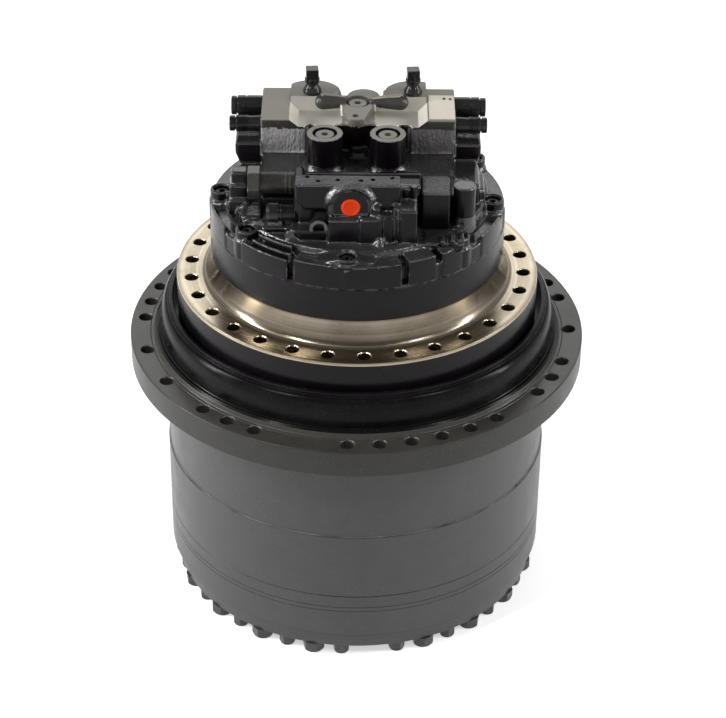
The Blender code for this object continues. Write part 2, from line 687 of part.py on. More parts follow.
def add_seal_rings(steel):
    """The two metal rings of the floating seal, face to face between hub and spindle."""
    outer = SEAL_BORE_RADIUS - GAP
    room = Z_SPINDLE_UNDER - Z_SEAL
    each = (room - 3 * GAP) / 2
    inner = outer - SEAL_RING_WIDTH
    low = Z_SEAL + GAP
    face = low + each
    ring = turned(tube_profile(inner, outer, low, face), SMALL_SEGMENTS)
    finish("rotating_seal_ring", ring, steel, parent=bpy.data.objects["hub_axis"])
    low = face + GAP
    outer -= SPINDLE_SKIRT_CLEARANCE
    ring = turned(tube_profile(inner, outer, low, low + each), SMALL_SEGMENTS)
    finish("fixed_seal_ring", ring, steel)


# Spindle side


def add_motor_housing(material):
    skirt = SEAL_BORE_RADIUS - SPINDLE_SKIRT_CLEARANCE
    shoulder = SPINDLE_RADIUS + SPINDLE_SHOULDER
    race_top = Z_UPPER_BEARING + BEARING_WIDTH + GAP
    skirt_low = Z_FRAME - FRAME_SKIRT_DEPTH
    bearing = SHAFT_RADIUS + SHAFT_BEARING_WALL
    bearing_low = Z_CAVITY - SHAFT_BEARING_HEIGHT - GAP
    seal = SHAFT_RADIUS + SEAL_ROOM
    profile = [
        (SPINDLE_BORE_RADIUS, Z_SPINDLE_END), (NUT_RADIUS, Z_SPINDLE_END),
        (NUT_RADIUS, Z_LOWER_BEARING - GAP), (SPINDLE_RADIUS, Z_LOWER_BEARING - GAP),
        (SPINDLE_RADIUS, race_top), (shoulder, race_top), (shoulder, Z_SPINDLE_UNDER),
        (skirt, Z_SPINDLE_UNDER), (skirt, skirt_low), (FRAME_FLANGE_RADIUS, skirt_low),
        (FRAME_FLANGE_RADIUS, Z_FRAME_TOP), (HOUSING_RADIUS + FILLET_REACH, Z_FRAME_TOP)]
    steps = 3
    for step in range(1, steps + 1):
        turn = pi / 2 * step / steps
        profile.append((HOUSING_RADIUS + FILLET_REACH * (1 - sin(turn)),
                        Z_FRAME_TOP + FILLET_HEIGHT * (1 - cos(turn))))
    profile += [
        (HOUSING_RADIUS, Z_JOINT), (CAVITY_RADIUS, Z_JOINT), (CAVITY_RADIUS, Z_BRAKE),
        (BLOCK_ROOM_RADIUS, Z_BRAKE), (BLOCK_ROOM_RADIUS, Z_CAVITY), (bearing, Z_CAVITY),
        (bearing, bearing_low), (seal, bearing_low), (seal, Z_SHAFT_WALL),
        (SPINDLE_BORE_RADIUS, Z_SHAFT_WALL)]
    housing = finish("motor_housing", turned(profile), material)
    holes = []
    for index in range(FRAME_HOLE_COUNT):
        spot = polar(FRAME_HOLE_CIRCLE, FRAME_HOLE_START + FULL_TURN * index / FRAME_HOLE_COUNT)
        holes.append(column(FRAME_HOLE_RADIUS, Z_FRAME_TOP - FRAME_HOLE_DEPTH,
                            Z_FRAME_TOP + OVERRUN, spot, HOLE_SEGMENTS))
    cut_from(housing, several(holes))


def add_bearing_nut(steel):
    outer = NUT_RADIUS + NUT_WALL
    profile = tube_profile(NUT_RADIUS + GAP, outer, Z_NUT, Z_NUT + NUT_HEIGHT)
    nut = finish("bearing_nut", turned(profile), steel)
    slots = []
    for index in range(NUT_SLOTS):
        slot = block((outer - NUT_SLOT_DEPTH, outer + OVERRUN), (-NUT_SLOT_DEPTH, NUT_SLOT_DEPTH),
                     (Z_NUT - OVERRUN, Z_NUT + NUT_HEIGHT / 2))
        turn = FULL_TURN * (index + NUT_SLOT_TURN_SHARE) / NUT_SLOTS
        slot.transform(Matrix.Rotation(turn, 4, "Z"))
        slots.append(slot)
    cut_from(nut, several(slots))


def pin_spot(arm, angle):
    return arm * cos(angle), arm * sin(angle)


def lobed_outline(arm, pin, steps=5):
    """A carrier plate: a rounded lobe round each pin, with shallow waists between."""
    lobe = pin + CARRIER_EDGE
    points = []
    for angle in PLANET_ANGLES:
        x, y = pin_spot(arm, angle)
        for step in range(steps + 1):
            turn = angle - pi / 2 + pi * step / steps
            points.append((x + lobe * cos(turn), y + lobe * sin(turn)))
        waist = angle + pi / 3
        points.append(((arm - pin / 2) * cos(waist), (arm - pin / 2) * sin(waist)))
    return points


def add_planet_pins(prefix, arm, radius, low, high, steel, parent=None):
    head = radius + PIN_HEAD_REACH
    for index, angle in enumerate(PLANET_ANGLES):
        spot = pin_spot(arm, angle)
        profile = [(0, low), (head, low), (head, low + PIN_HEAD_THICKNESS),
                   (radius, low + PIN_HEAD_THICKNESS), (radius, high), (0, high)]
        finish(f"{prefix}_{index + 1}", turned(profile, PIN_SEGMENTS, spot), steel,
               (*spot, low), parent)


def add_first_carrier(material, steel, parent):
    holes = [circle(FIRST_PIN_RADIUS + GAP, PIN_SEGMENTS, pin_spot(FIRST_ARM, angle))
             for angle in PLANET_ANGLES]
    bore = circle(SUN_STUB_RADIUS + GAP, SMALL_SEGMENTS)
    plate = prism([lobed_outline(FIRST_ARM, FIRST_PIN_RADIUS), bore, *holes], Z_FIRST_PLATE,
                  Z_FIRST_PLATE_TOP)
    finish("first_carrier", plate, material, parent=parent)
    add_planet_pins("first_planet_pin", FIRST_ARM, FIRST_PIN_RADIUS, Z_FIRST_PIN,
                    Z_FIRST_PLATE_TOP, steel, parent)


def add_second_carrier(material, steel):
    holes = [circle(SECOND_PIN_RADIUS + GAP, PIN_SEGMENTS, pin_spot(SECOND_ARM, angle))
             for angle in PLANET_ANGLES]
    bore = circle(SHAFT_ROOM_RADIUS, SMALL_SEGMENTS)
    plate = prism([lobed_outline(SECOND_ARM, SECOND_PIN_RADIUS), bore, *holes],
                  Z_SECOND_PLATE, Z_SECOND_PLATE_TOP)
    carrier = finish("second_carrier", plate, material)
    join_to(carrier, turned(tube_profile(SHAFT_ROOM_RADIUS, SPIGOT_RADIUS,
                                         Z_SECOND_PLATE + PIN_HEAD_THICKNESS,
                                         Z_SECOND_PLATE_TOP + SPIGOT_HEIGHT), SMALL_SEGMENTS))
    add_planet_pins("second_planet_pin", SECOND_ARM, SECOND_PIN_RADIUS, Z_SECOND_PIN,
                    Z_SECOND_PLATE_TOP, steel)


def add_planets(prefix, teeth, arm, pin, low, width, steel, parent=None):
    """Planets mesh with a ring tooth straight outward, so a space of each points there."""
    bore = circle(inner_corner(pin, GAP, PIN_SEGMENTS), PIN_SEGMENTS)
    phase = pi / teeth
    for index, angle in enumerate(PLANET_ANGLES):
        outline = gear_outline(teeth, -SUN_SHIFT_SHARE, 2, phase=angle + phase)
        solid = prism([outline, bore], 0, width)
        x, y = pin_spot(arm, angle)
        solid.transform(Matrix.Translation((x, y, low)))
        finish(f"{prefix}_{index + 1}", solid, steel, (x, y, low), parent)


def add_suns(steel, carrier_axis, input_axis):
    teeth_low = Z_FIRST_PLATE_TOP + GAP
    teeth_high = Z_SECOND_PLATE - STAGE_GAP
    bore = circle(SUN_BORE_RADIUS, SMALL_SEGMENTS)
    outline = gear_outline(SECOND_SUN_TEETH, SUN_SHIFT_SHARE, 2)
    sun = finish("second_sun", prism([outline, bore], teeth_low, teeth_high), steel,
                 parent=carrier_axis)
    join_to(sun, prism([circle(SUN_STUB_RADIUS, SMALL_SEGMENTS), bore], Z_FIRST_PLATE,
                       teeth_low + OVERRUN))
    outline = gear_outline(FIRST_SUN_TEETH, SUN_SHIFT_SHARE, 3)
    top = Z_FIRST_PLANET + FIRST_PLANET_WIDTH
    shaft_top = Z_SHAFT_WALL - COUPLING_LENGTH + COUPLING_DEPTH - GAP
    sun = finish("first_sun", prism([outline], Z_FIRST_PLANET, top), steel, parent=input_axis)
    join_to(sun, column(SUN_SHAFT_RADIUS, top - OVERRUN, shaft_top))


# Motor inside the housing


def add_motor_shaft(steel, parent):
    low = Z_SHAFT_WALL - COUPLING_LENGTH
    socket = SUN_SHAFT_RADIUS + GAP
    tail = Z_BLOCK_TOP
    top = Z_REAR_COVER + REAR_BEARING_HEIGHT
    profile = [
        (0, low + COUPLING_DEPTH), (socket, low + COUPLING_DEPTH), (socket, low),
        (COUPLING_RADIUS, low), (COUPLING_RADIUS, Z_SHAFT_WALL - GAP),
        (SHAFT_RADIUS, Z_SHAFT_WALL - GAP), (SHAFT_RADIUS, tail), (SHAFT_TAIL_RADIUS, tail),
        (SHAFT_TAIL_RADIUS, top), (0, top)]
    finish("motor_shaft", turned(profile, SMALL_SEGMENTS), steel, parent=parent)


def add_shaft_supports(steel, rubber):
    seal_low = Z_CAVITY - SHAFT_BEARING_HEIGHT - GAP - SEAL_HEIGHT - GAP
    inner = inner_corner(SHAFT_RADIUS, GAP)
    seal = turned(tube_profile(inner, SHAFT_RADIUS + SEAL_ROOM - GAP, seal_low,
                               seal_low + SEAL_HEIGHT), SMALL_SEGMENTS)
    finish("shaft_seal", seal, rubber)
    low = Z_CAVITY - SHAFT_BEARING_HEIGHT
    outer = SHAFT_RADIUS + SHAFT_BEARING_WALL - GAP
    bearing = turned(tube_profile(inner, outer, low, Z_CAVITY), SMALL_SEGMENTS)
    finish("shaft_front_bearing", bearing, steel)
    inner = inner_corner(SHAFT_TAIL_RADIUS, GAP)
    outer = SHAFT_TAIL_RADIUS + SHAFT_BEARING_WALL - GAP
    bearing = turned(tube_profile(inner, outer, Z_REAR_COVER + GAP,
                                  Z_REAR_COVER + REAR_BEARING_HEIGHT), SMALL_SEGMENTS)
    finish("shaft_rear_bearing", bearing, steel)


def add_cylinder_block(steel, parent):
    bore = circle(SHAFT_RADIUS + GAP, SMALL_SEGMENTS)
    body = finish("cylinder_block", prism([circle(BLOCK_RADIUS, SMALL_SEGMENTS), bore],
                                          Z_BLOCK, Z_BLOCK_TOP), steel, parent=parent)
    pistons = []
    for index in range(PISTON_COUNT):
        spot = polar(PISTON_CIRCLE, FULL_TURN * index / PISTON_COUNT)
        pistons.append(column(PISTON_RADIUS, Z_BLOCK - PISTON_REACH, Z_BLOCK + OVERRUN, spot,
                              HOLE_SEGMENTS))
    join_to(body, several(pistons))


def kidney(centre_angle):
    """A curved slot of the valve plate."""
    steps = 4
    points = []
    for side, direction in ((1, 1), (-1, -1)):
        for step in range(steps + 1):
            turn = centre_angle + direction * KIDNEY_SWEEP * (step / steps - 1 / 2)
            radius = KIDNEY_RADIUS + side * KIDNEY_WIDTH / 2
            points.append((radius * cos(turn), radius * sin(turn)))
    return points


def add_valve_plate(steel):
    bore = circle(SHAFT_RADIUS + RUNNING_CLEARANCE, SMALL_SEGMENTS)
    outlines = [circle(VALVE_PLATE_RADIUS, SMALL_SEGMENTS), bore, kidney(0), kidney(pi)]
    plate = prism(outlines, Z_VALVE_PLATE, Z_JOINT)
    finish("valve_plate", plate, steel)


def add_swash_plate(steel, axis_empty):
    """A half-round cradle whose flat face tilts the pistons' stroke."""
    steps = 10
    reach = acos(SWASH_FACE_DROP / SWASH_CRADLE_RADIUS)
    outline = []
    for step in range(steps + 1):
        turn = -pi / 2 - reach + 2 * reach * step / steps
        outline.append((SWASH_CRADLE_RADIUS * cos(turn), SWASH_CRADLE_RADIUS * sin(turn)))
    solid = prism([outline], -SWASH_HALF_WIDTH, SWASH_HALF_WIDTH)
    solid.transform(Matrix.Rotation(pi / 2, 4, "Z") @ Matrix.Rotation(pi / 2, 4, "X"))
    plate = finish("swash_plate", solid, steel)
    plate.parent = axis_empty
    cut_from(plate, column(SWASH_HOLE_RADIUS, -SWASH_CRADLE_RADIUS - OVERRUN,
                           SWASH_CRADLE_RADIUS))
    plate.modifiers[-1].object.parent = axis_empty


def add_brake(steel, friction, piston_metal, input_axis, piston_axis):
    inner = BLOCK_RADIUS + GAP
    low = Z_BRAKE + GAP
    disc = turned(tube_profile(inner, inner + BRAKE_DISC_REACH, low, low + BRAKE_DISC_THICKNESS),
                  SMALL_SEGMENTS)
    finish("brake_friction_disc", disc, friction, parent=input_axis)
    outer = CAVITY_RADIUS - GAP
    low += BRAKE_DISC_THICKNESS + GAP
    disc = turned(tube_profile(outer - SEPARATOR_WIDTH, outer, low, low + BRAKE_DISC_THICKNESS),
                  SMALL_SEGMENTS)
    finish("brake_separator", disc, steel)
    low += BRAKE_DISC_THICKNESS + GAP
    high = low + BRAKE_PISTON_HEIGHT
    origin = (0, 0, low)
    piston = turned(tube_profile(outer - SEPARATOR_WIDTH, outer, low, high), SMALL_SEGMENTS)
    finish("brake_piston", piston, piston_metal, origin, piston_axis)
    low = high + GAP
    high = Z_JOINT - GAP
    wall = BRAKE_DISC_THICKNESS / 2
    profile = [(outer - SEPARATOR_WIDTH, high - wall), (outer - RUNNING_CLEARANCE, low),
               (outer - RUNNING_CLEARANCE, low + wall), (outer - SEPARATOR_WIDTH, high)]
    finish("brake_disc_spring", turned(profile, SMALL_SEGMENTS), steel, (0, 0, high))


# Rear cover casting


def mirrored_span(span, side):
    values = sorted(side * value for value in span)
    return values[0], values[1]


def rounded_block_along_x(x, y, z, rounding):
    """A block along X whose long top edges are rounded."""
    steps = 3
    points = [(y[0], z[0])]
    for corner, start in (((y[0] + rounding, z[1] - rounding), pi),
                          ((y[1] - rounding, z[1] - rounding), pi / 2)):
        for step in range(steps + 1):
            turn = start - pi / 2 * step / steps
            points.append((corner[0] + rounding * cos(turn), corner[1] + rounding * sin(turn)))
    points.append((y[1], z[0]))
    bm = prism([points], x[0], x[1])
    bm.transform(Matrix(((0, 0, 1, 0), (1, 0, 0, 0), (0, 1, 0, 0), (0, 0, 0, 1))))
    return bm


def side_block(side):
    """The tall end block: its top slopes down inward and its front top edge is chamfered."""
    x0, x1 = SIDE_BLOCK_X
    y0, y1 = SIDE_BLOCK_Y
    low = Z_DECK - DECK_SINK
    points = [(x0 - 2 * INNER_SLOPE, low), (x1, low), (x1, Z_TOP), (x0, Z_TOP),
              (x0 - INNER_SLOPE, Z_DECK + WEB_RISE), (x0 - 2 * INNER_SLOPE, Z_DECK + WEB_RISE)]
    bm = prism([[(side * x, z) for x, z in points]], -y1, -y0)
    bm.transform(Matrix.Rotation(pi / 2, 4, "X"))
    return bm


def side_block_chamfer(side):
    x0, x1 = SIDE_BLOCK_X
    y0 = SIDE_BLOCK_Y[0]
    cut = SIDE_BLOCK_CHAMFER
    points = [(y0 - OVERRUN, Z_TOP - cut - OVERRUN), (y0 + cut / 2 + OVERRUN, Z_TOP + OVERRUN),
              (y0 - OVERRUN, Z_TOP + OVERRUN)]
    span = mirrored_span((x0 - 3 * INNER_SLOPE, x1 + OVERRUN), side)
    bm = prism([points], *span)
    bm.transform(Matrix(((0, 0, 1, 0), (1, 0, 0, 0), (0, 1, 0, 0), (0, 0, 0, 1))))
    return bm


def side_housing(side):
    """The bulging valve housing on a flank, rounded below."""
    x0, x1 = SIDE_HOUSING_X
    low = Z_DECK + SIDE_HOUSING_RISE
    high = Z_DECK + VALVE_RISE - max(REAR_VALVE_RADIUS, FRONT_VALVE_RADIUS) - GAP
    steps = 4
    radius = SIDE_HOUSING_ROUND
    points = [(x0, low), (x0, high), (x1, high)]
    for step in range(steps + 1):
        turn = -pi / 2 * step / steps
        points.append((x1 - radius + radius * cos(turn), low + radius + radius * sin(turn)))
    bm = prism([[(side * x, z) for x, z in points]], -SIDE_HOUSING_Y[1], -SIDE_HOUSING_Y[0])
    bm.transform(Matrix.Rotation(pi / 2, 4, "X"))
    return bm


def horn(port):
    """A cast passage from a main port to the centre boss."""
    start = Vector((*port, Z_TOP - HORN_DROP))
    end = Vector((*CENTRE_BOSS_PLACE, Z_TOP - HORN_DROP))
    along = end - start
    bm = column(HORN_RADIUS, 0, along.length, segments=PIN_SEGMENTS)
    turn = along.to_track_quat("Z", "Y").to_matrix().to_4x4()
    bm.transform(Matrix.Translation(start) @ turn)
    return bm


def rear_cover_disc():
    bearing = SHAFT_TAIL_RADIUS + SHAFT_BEARING_WALL
    pocket = Z_REAR_COVER + REAR_BEARING_HEIGHT + GAP
    step = HOUSING_RADIUS - DECK_STEP_WIDTH
    profile = [(0, pocket), (bearing, pocket), (bearing, Z_REAR_COVER),
               (HOUSING_RADIUS, Z_REAR_COVER), (HOUSING_RADIUS, Z_DECK - DECK_STEP),
               (step, Z_DECK - DECK_STEP), (step, Z_DECK), (0, Z_DECK)]
    return turned(profile)


def cover_bosses():
    low = Z_DECK - DECK_SINK
    solids = []
    for place in PORT_BOSS_PLACES:
        solids.append(column(PORT_BOSS_RADIUS, low, Z_TOP, place))
    solids.append(column(CENTRE_BOSS_RADIUS, low, Z_TOP, CENTRE_BOSS_PLACE))
    solids.append(column(CENTRE_LOBE_RADIUS, low, Z_TOP - OVERRUN, CENTRE_LOBE_PLACE))
    for place in MAIN_PORT_PLACES:
        solids.append(column(MAIN_PORT_RADIUS, low, Z_DECK + MAIN_PORT_RISE, place,
                             PORT_SEGMENTS))
    solids.append(column(REAR_PORT_RADIUS, low, Z_DECK + REAR_PORT_RISE, REAR_PORT_PLACE))
    solids.append(column(RIGHT_COLUMN_RADIUS, low, Z_DECK + RIGHT_COLUMN_RISE,
                         RIGHT_COLUMN_PLACE, PIN_SEGMENTS))
    return solids


def front_masses():
    low = Z_DECK - DECK_SINK
    spool_z = Z_DECK + SPOOL_RISE
    pilot_z = Z_DECK + PILOT_PORT_RISE
    y0 = FRONT_BLOCK_Y[0]
    return [
        rounded_block_along_x((-SPOOL_HOUSING_X, SPOOL_HOUSING_X),
                              (SPOOL_Y - SPOOL_HOUSING_HALF, SPOOL_Y + SPOOL_HOUSING_HALF),
                              (low, spool_z + SPOOL_HOUSING_HALF), SPOOL_HOUSING_ROUND),
        rounded_block_along_x(FRONT_BLOCK_X, FRONT_BLOCK_Y,
                              (Z_DECK + FRONT_BLOCK_UNDER, Z_DECK + FRONT_BLOCK_RISE),
                              FRONT_BLOCK_ROUND),
        block((FRONT_BLOCK_X[0] + GAP, FRONT_BLOCK_X[1] - GAP), (NECK_Y, SPOOL_Y),
              (low, Z_DECK + NECK_RISE)),
        block(FOOT_BLOCK_X, (FOOT_BLOCK_Y, SPOOL_Y), (low, Z_DECK + FOOT_BLOCK_RISE)),
        laid_along_y(column(PILOT_PORT_RADIUS, y0 - PILOT_PORT_REACH, y0 + PILOT_PORT_REACH),
                     PILOT_PORT_X, pilot_z)]


def add_rear_cover(material):
    low = Z_DECK - DECK_SINK
    cover = finish("rear_cover", rear_cover_disc(), material)
    lugs = [column(LUG_RADIUS, low - DECK_STEP, Z_DECK - OVERRUN, polar(LUG_CIRCLE, turn),
                   LUG_SEGMENTS) for turn in LUG_ANGLES]
    join_to(cover, several(lugs))
    join_to(cover,
            block((-BODY_X, BODY_X), BODY_Y, (low, Z_DECK + FLOOR_RISE)),
            block((OVERRUN - SIDE_BLOCK_X[1], SIDE_BLOCK_X[1] - OVERRUN),
                  (FRONT_FLOOR_Y, SIDE_BLOCK_Y[0] + OVERRUN), (low, Z_DECK + FLOOR_RISE)),
            block((-BODY_X + OVERRUN, BODY_X - OVERRUN), WEB_Y, (low, Z_DECK + WEB_RISE)))
    join_to(cover, side_block(-1), side_block(1), side_housing(-1), side_housing(1))
    cut_from(cover, side_block_chamfer(-1), side_block_chamfer(1))
    for side in (-1, 1):
        cut_from(cover, block(mirrored_span(WEB_RECESS_X, side), WEB_RECESS_Y,
                              (Z_DECK + WEB_RISE - WEB_RECESS_DEPTH, Z_TOP + OVERRUN)))
    join_to(cover, *cover_bosses())
    join_to(cover, *[horn(port) for port in MAIN_PORT_PLACES])
    join_to(cover, *front_masses())
    cut_cover(cover)


def cut_cover(cover):
    spool_z = Z_DECK + SPOOL_RISE
    pilot_z = Z_DECK + PILOT_PORT_RISE
    bore = column(SPOOL_RADIUS + RUNNING_CLEARANCE, -SPOOL_HOUSING_X - OVERRUN,
                  SPOOL_HOUSING_X - SPOOL_END_WALL, segments=PIN_SEGMENTS)
    cut_from(cover, laid_along_x(bore, SPOOL_Y, spool_z))
    face = FRONT_BLOCK_Y[0] - PILOT_PORT_REACH
    bore = column(PILOT_PLUG_RADIUS + GAP, face - OVERRUN, face + PILOT_BORE_DEPTH)
    cut_from(cover, laid_along_y(bore, PILOT_PORT_X, pilot_z))
    slots = [block((x - FOOT_SLOT_WIDTH / 2, x + FOOT_SLOT_WIDTH / 2),
                   (FOOT_BLOCK_Y - OVERRUN, FOOT_BLOCK_Y + FOOT_SLOT_DEPTH),
                   (Z_DECK + OVERRUN, Z_DECK + FOOT_BLOCK_RISE + OVERRUN)) for x in FOOT_SLOT_X]
    cut_from(cover, several(slots))
    seats = [column(PORT_PLUG_RADIUS + GAP, Z_TOP - PORT_PLUG_HEIGHT, Z_TOP + OVERRUN, place)
             for place in (*PORT_BOSS_PLACES, CENTRE_BOSS_PLACE)]
    cut_from(cover, several(seats))
    notches = []
    for turn in RIM_NOTCH_ANGLES:
        notch = block((-RIM_NOTCH_WIDTH / 2, RIM_NOTCH_WIDTH / 2),
                      (-HOUSING_RADIUS - OVERRUN, -HOUSING_RADIUS + RIM_NOTCH_DEPTH),
                      (Z_REAR_COVER + OVERRUN, Z_DECK + OVERRUN))
        notch.transform(Matrix.Rotation(turn, 4, "Z"))
        notches.append(notch)
    cut_from(cover, several(notches))
    bores = [column(LUG_BORE_RADIUS, Z_DECK - OVERRUN - LUG_BORE_DEPTH, Z_DECK + OVERRUN,
                    polar(LUG_CIRCLE, turn), HOLE_SEGMENTS) for turn in LUG_ANGLES]
    cut_from(cover, several(bores))


# Plugs, caps, valves and fittings


def add_port_plugs(material):
    low = Z_TOP - PORT_PLUG_HEIGHT + GAP
    top = Z_TOP - PORT_BOSS_RING_DEPTH
    socket = PORT_PLUG_SOCKET_RADIUS
    floor = top - PORT_PLUG_SOCKET_DEPTH
    places = (*PORT_BOSS_PLACES, CENTRE_BOSS_PLACE)
    for name, place in zip(("port_plug_left", "port_plug_right", "port_plug_rear"), places):
        profile = [(0, low), (PORT_PLUG_RADIUS, low), (PORT_PLUG_RADIUS, top), (socket, top),
                   (socket, floor), (0, floor)]
        finish(name, turned(profile, SMALL_SEGMENTS, place), material, (*place, low))


def add_pilot_plug(material):
    face = FRONT_BLOCK_Y[0] - PILOT_PORT_REACH
    plug = column(PILOT_PLUG_RADIUS, face + PILOT_BORE_DEPTH - GAP - PILOT_PLUG_LENGTH,
                  face + PILOT_BORE_DEPTH - GAP)
    z = Z_DECK + PILOT_PORT_RISE
    finish("pilot_port_plug", laid_along_y(plug, PILOT_PORT_X, z), material,
           (PILOT_PORT_X, face, z))


def valve_profile(radius):
    groove = radius - VALVE_GROOVE
    shoulder = VALVE_LENGTH / 2
    cap = radius - VALVE_CAP_STEP
    return [(0, 0), (radius, 0), (radius, shoulder), (groove, shoulder),
            (groove, shoulder + VALVE_GROOVE), (radius, shoulder + VALVE_GROOVE),
            (radius, VALVE_LENGTH), (cap, VALVE_LENGTH), (cap, VALVE_LENGTH + VALVE_CAP_LENGTH),
            (0, VALVE_LENGTH + VALVE_CAP_LENGTH)]


def add_relief_valves(material):
    start = SIDE_BLOCK_X[1] + GAP
    z = Z_DECK + VALVE_RISE
    for side, side_name in ((-1, "left"), (1, "right")):
        for y, radius, place in ((REAR_VALVE_Y, REAR_VALVE_RADIUS, "rear"),
                                 (FRONT_VALVE_Y, FRONT_VALVE_RADIUS, "front")):
            bm = turned(valve_profile(radius), PIN_SEGMENTS)
            bm.transform(Matrix.Rotation(side * pi / 2, 4, "Y"))
            bm.transform(Matrix.Translation((side * start, y, z)))
            finish(f"relief_valve_{side_name}_{place}", bm, material, (side * start, y, z))


def add_spool_parts(cap_metal, steel, casting, spool_axis):
    z = Z_DECK + SPOOL_RISE
    barrel = SPOOL_CAP_BARREL
    profile = [(0, 0), (SPOOL_CAP_BARREL_RADIUS, 0), (SPOOL_CAP_BARREL_RADIUS, barrel), (0, barrel)]
    bm = turned(profile, SMALL_SEGMENTS)
    bm.transform(Matrix.Rotation(-pi / 2, 4, "Y"))
    start = -SPOOL_HOUSING_X - GAP
    bm.transform(Matrix.Translation((start, SPOOL_Y, z)))
    cap = finish("spool_cap_left", bm, cap_metal, (start, SPOOL_Y, z))
    hexagon = laid_along_x(column(SPOOL_CAP_HEX_RADIUS, 0, SPOOL_CAP_HEX + OVERRUN,
                                  segments=HEX_SIDES), SPOOL_Y, z)
    hexagon.transform(Matrix.Translation((start - barrel - SPOOL_CAP_HEX, 0, 0)))
    join_to(cap, hexagon)
    half = SPOOL_HOUSING_X - SPOOL_END_WALL - SPOOL_STROKE - GAP
    neck = SPOOL_RADIUS / 2
    radii = (SPOOL_RADIUS, neck, SPOOL_RADIUS, neck, SPOOL_RADIUS)
    pitch = 2 * half / len(radii)
    profile = [(0, -half)]
    for index, radius in enumerate(radii):
        profile += [(radius, -half + pitch * index), (radius, -half + pitch * (index + 1))]
    profile.append((0, half))
    spool = laid_along_x(turned(profile, PIN_SEGMENTS), SPOOL_Y, z)
    finish("counterbalance_spool", spool, steel, (0, SPOOL_Y, z), spool_axis)
    add_pilot_block(casting)


def add_pilot_block(casting):
    """The block that closes the spool's right end, with its upright edges chamfered."""
    low = Z_DECK + GAP
    x0 = SPOOL_HOUSING_X + GAP
    x1 = x0 + RIGHT_BLOCK_WIDTH
    y0, y1 = RIGHT_BLOCK_Y
    cut = RIGHT_BLOCK_CHAMFER
    outline = [(x0 + cut, y0), (x1 - cut, y0), (x1, y0 + cut), (x1, y1 - cut), (x1 - cut, y1),
               (x0 + cut, y1), (x0, y1 - cut), (x0, y0 + cut)]
    finish("pilot_valve_block", prism([outline], low, Z_DECK + RIGHT_BLOCK_RISE), casting,
           (SPOOL_HOUSING_X, SPOOL_Y, low))


def add_pilot_valve(material):
    z = Z_DECK + PILOT_VALVE_RISE
    start = FRONT_BLOCK_X[0] - GAP
    length = PILOT_VALVE_LENGTH
    total = length + PILOT_VALVE_CAP_LENGTH
    profile = [(0, 0), (PILOT_VALVE_RADIUS, 0), (PILOT_VALVE_RADIUS, length),
               (PILOT_VALVE_CAP_RADIUS, length), (PILOT_VALVE_CAP_RADIUS, total), (0, total)]
    bm = turned(profile, PIN_SEGMENTS)
    bm.transform(Matrix.Rotation(-pi / 2, 4, "Y"))
    bm.transform(Matrix.Translation((start, PILOT_VALVE_Y, z)))
    finish("pilot_relief_valve", bm, material, (start, PILOT_VALVE_Y, z))


def add_fittings(material):
    low = Z_DECK + MAIN_PORT_RISE + GAP
    neck = low + FITTING_BASE_HEIGHT
    head = neck + FITTING_NECK_HEIGHT
    for name, place in zip(("fitting_left", "fitting_right"), MAIN_PORT_PLACES):
        centre = (place[0], place[1] + FITTING_BACKSET)
        profile = [(0, low), (FITTING_BASE_RADIUS, low), (FITTING_BASE_RADIUS, neck),
                   (FITTING_NECK_RADIUS, neck), (FITTING_NECK_RADIUS, head + OVERRUN),
                   (0, head + OVERRUN)]
        fitting = finish(name, turned(profile, PIN_SEGMENTS, centre), material, (*centre, low))
        join_to(fitting, column(FITTING_HEAD_RADIUS, head, head + FITTING_HEAD_HEIGHT, centre,
                                HEX_SIDES))


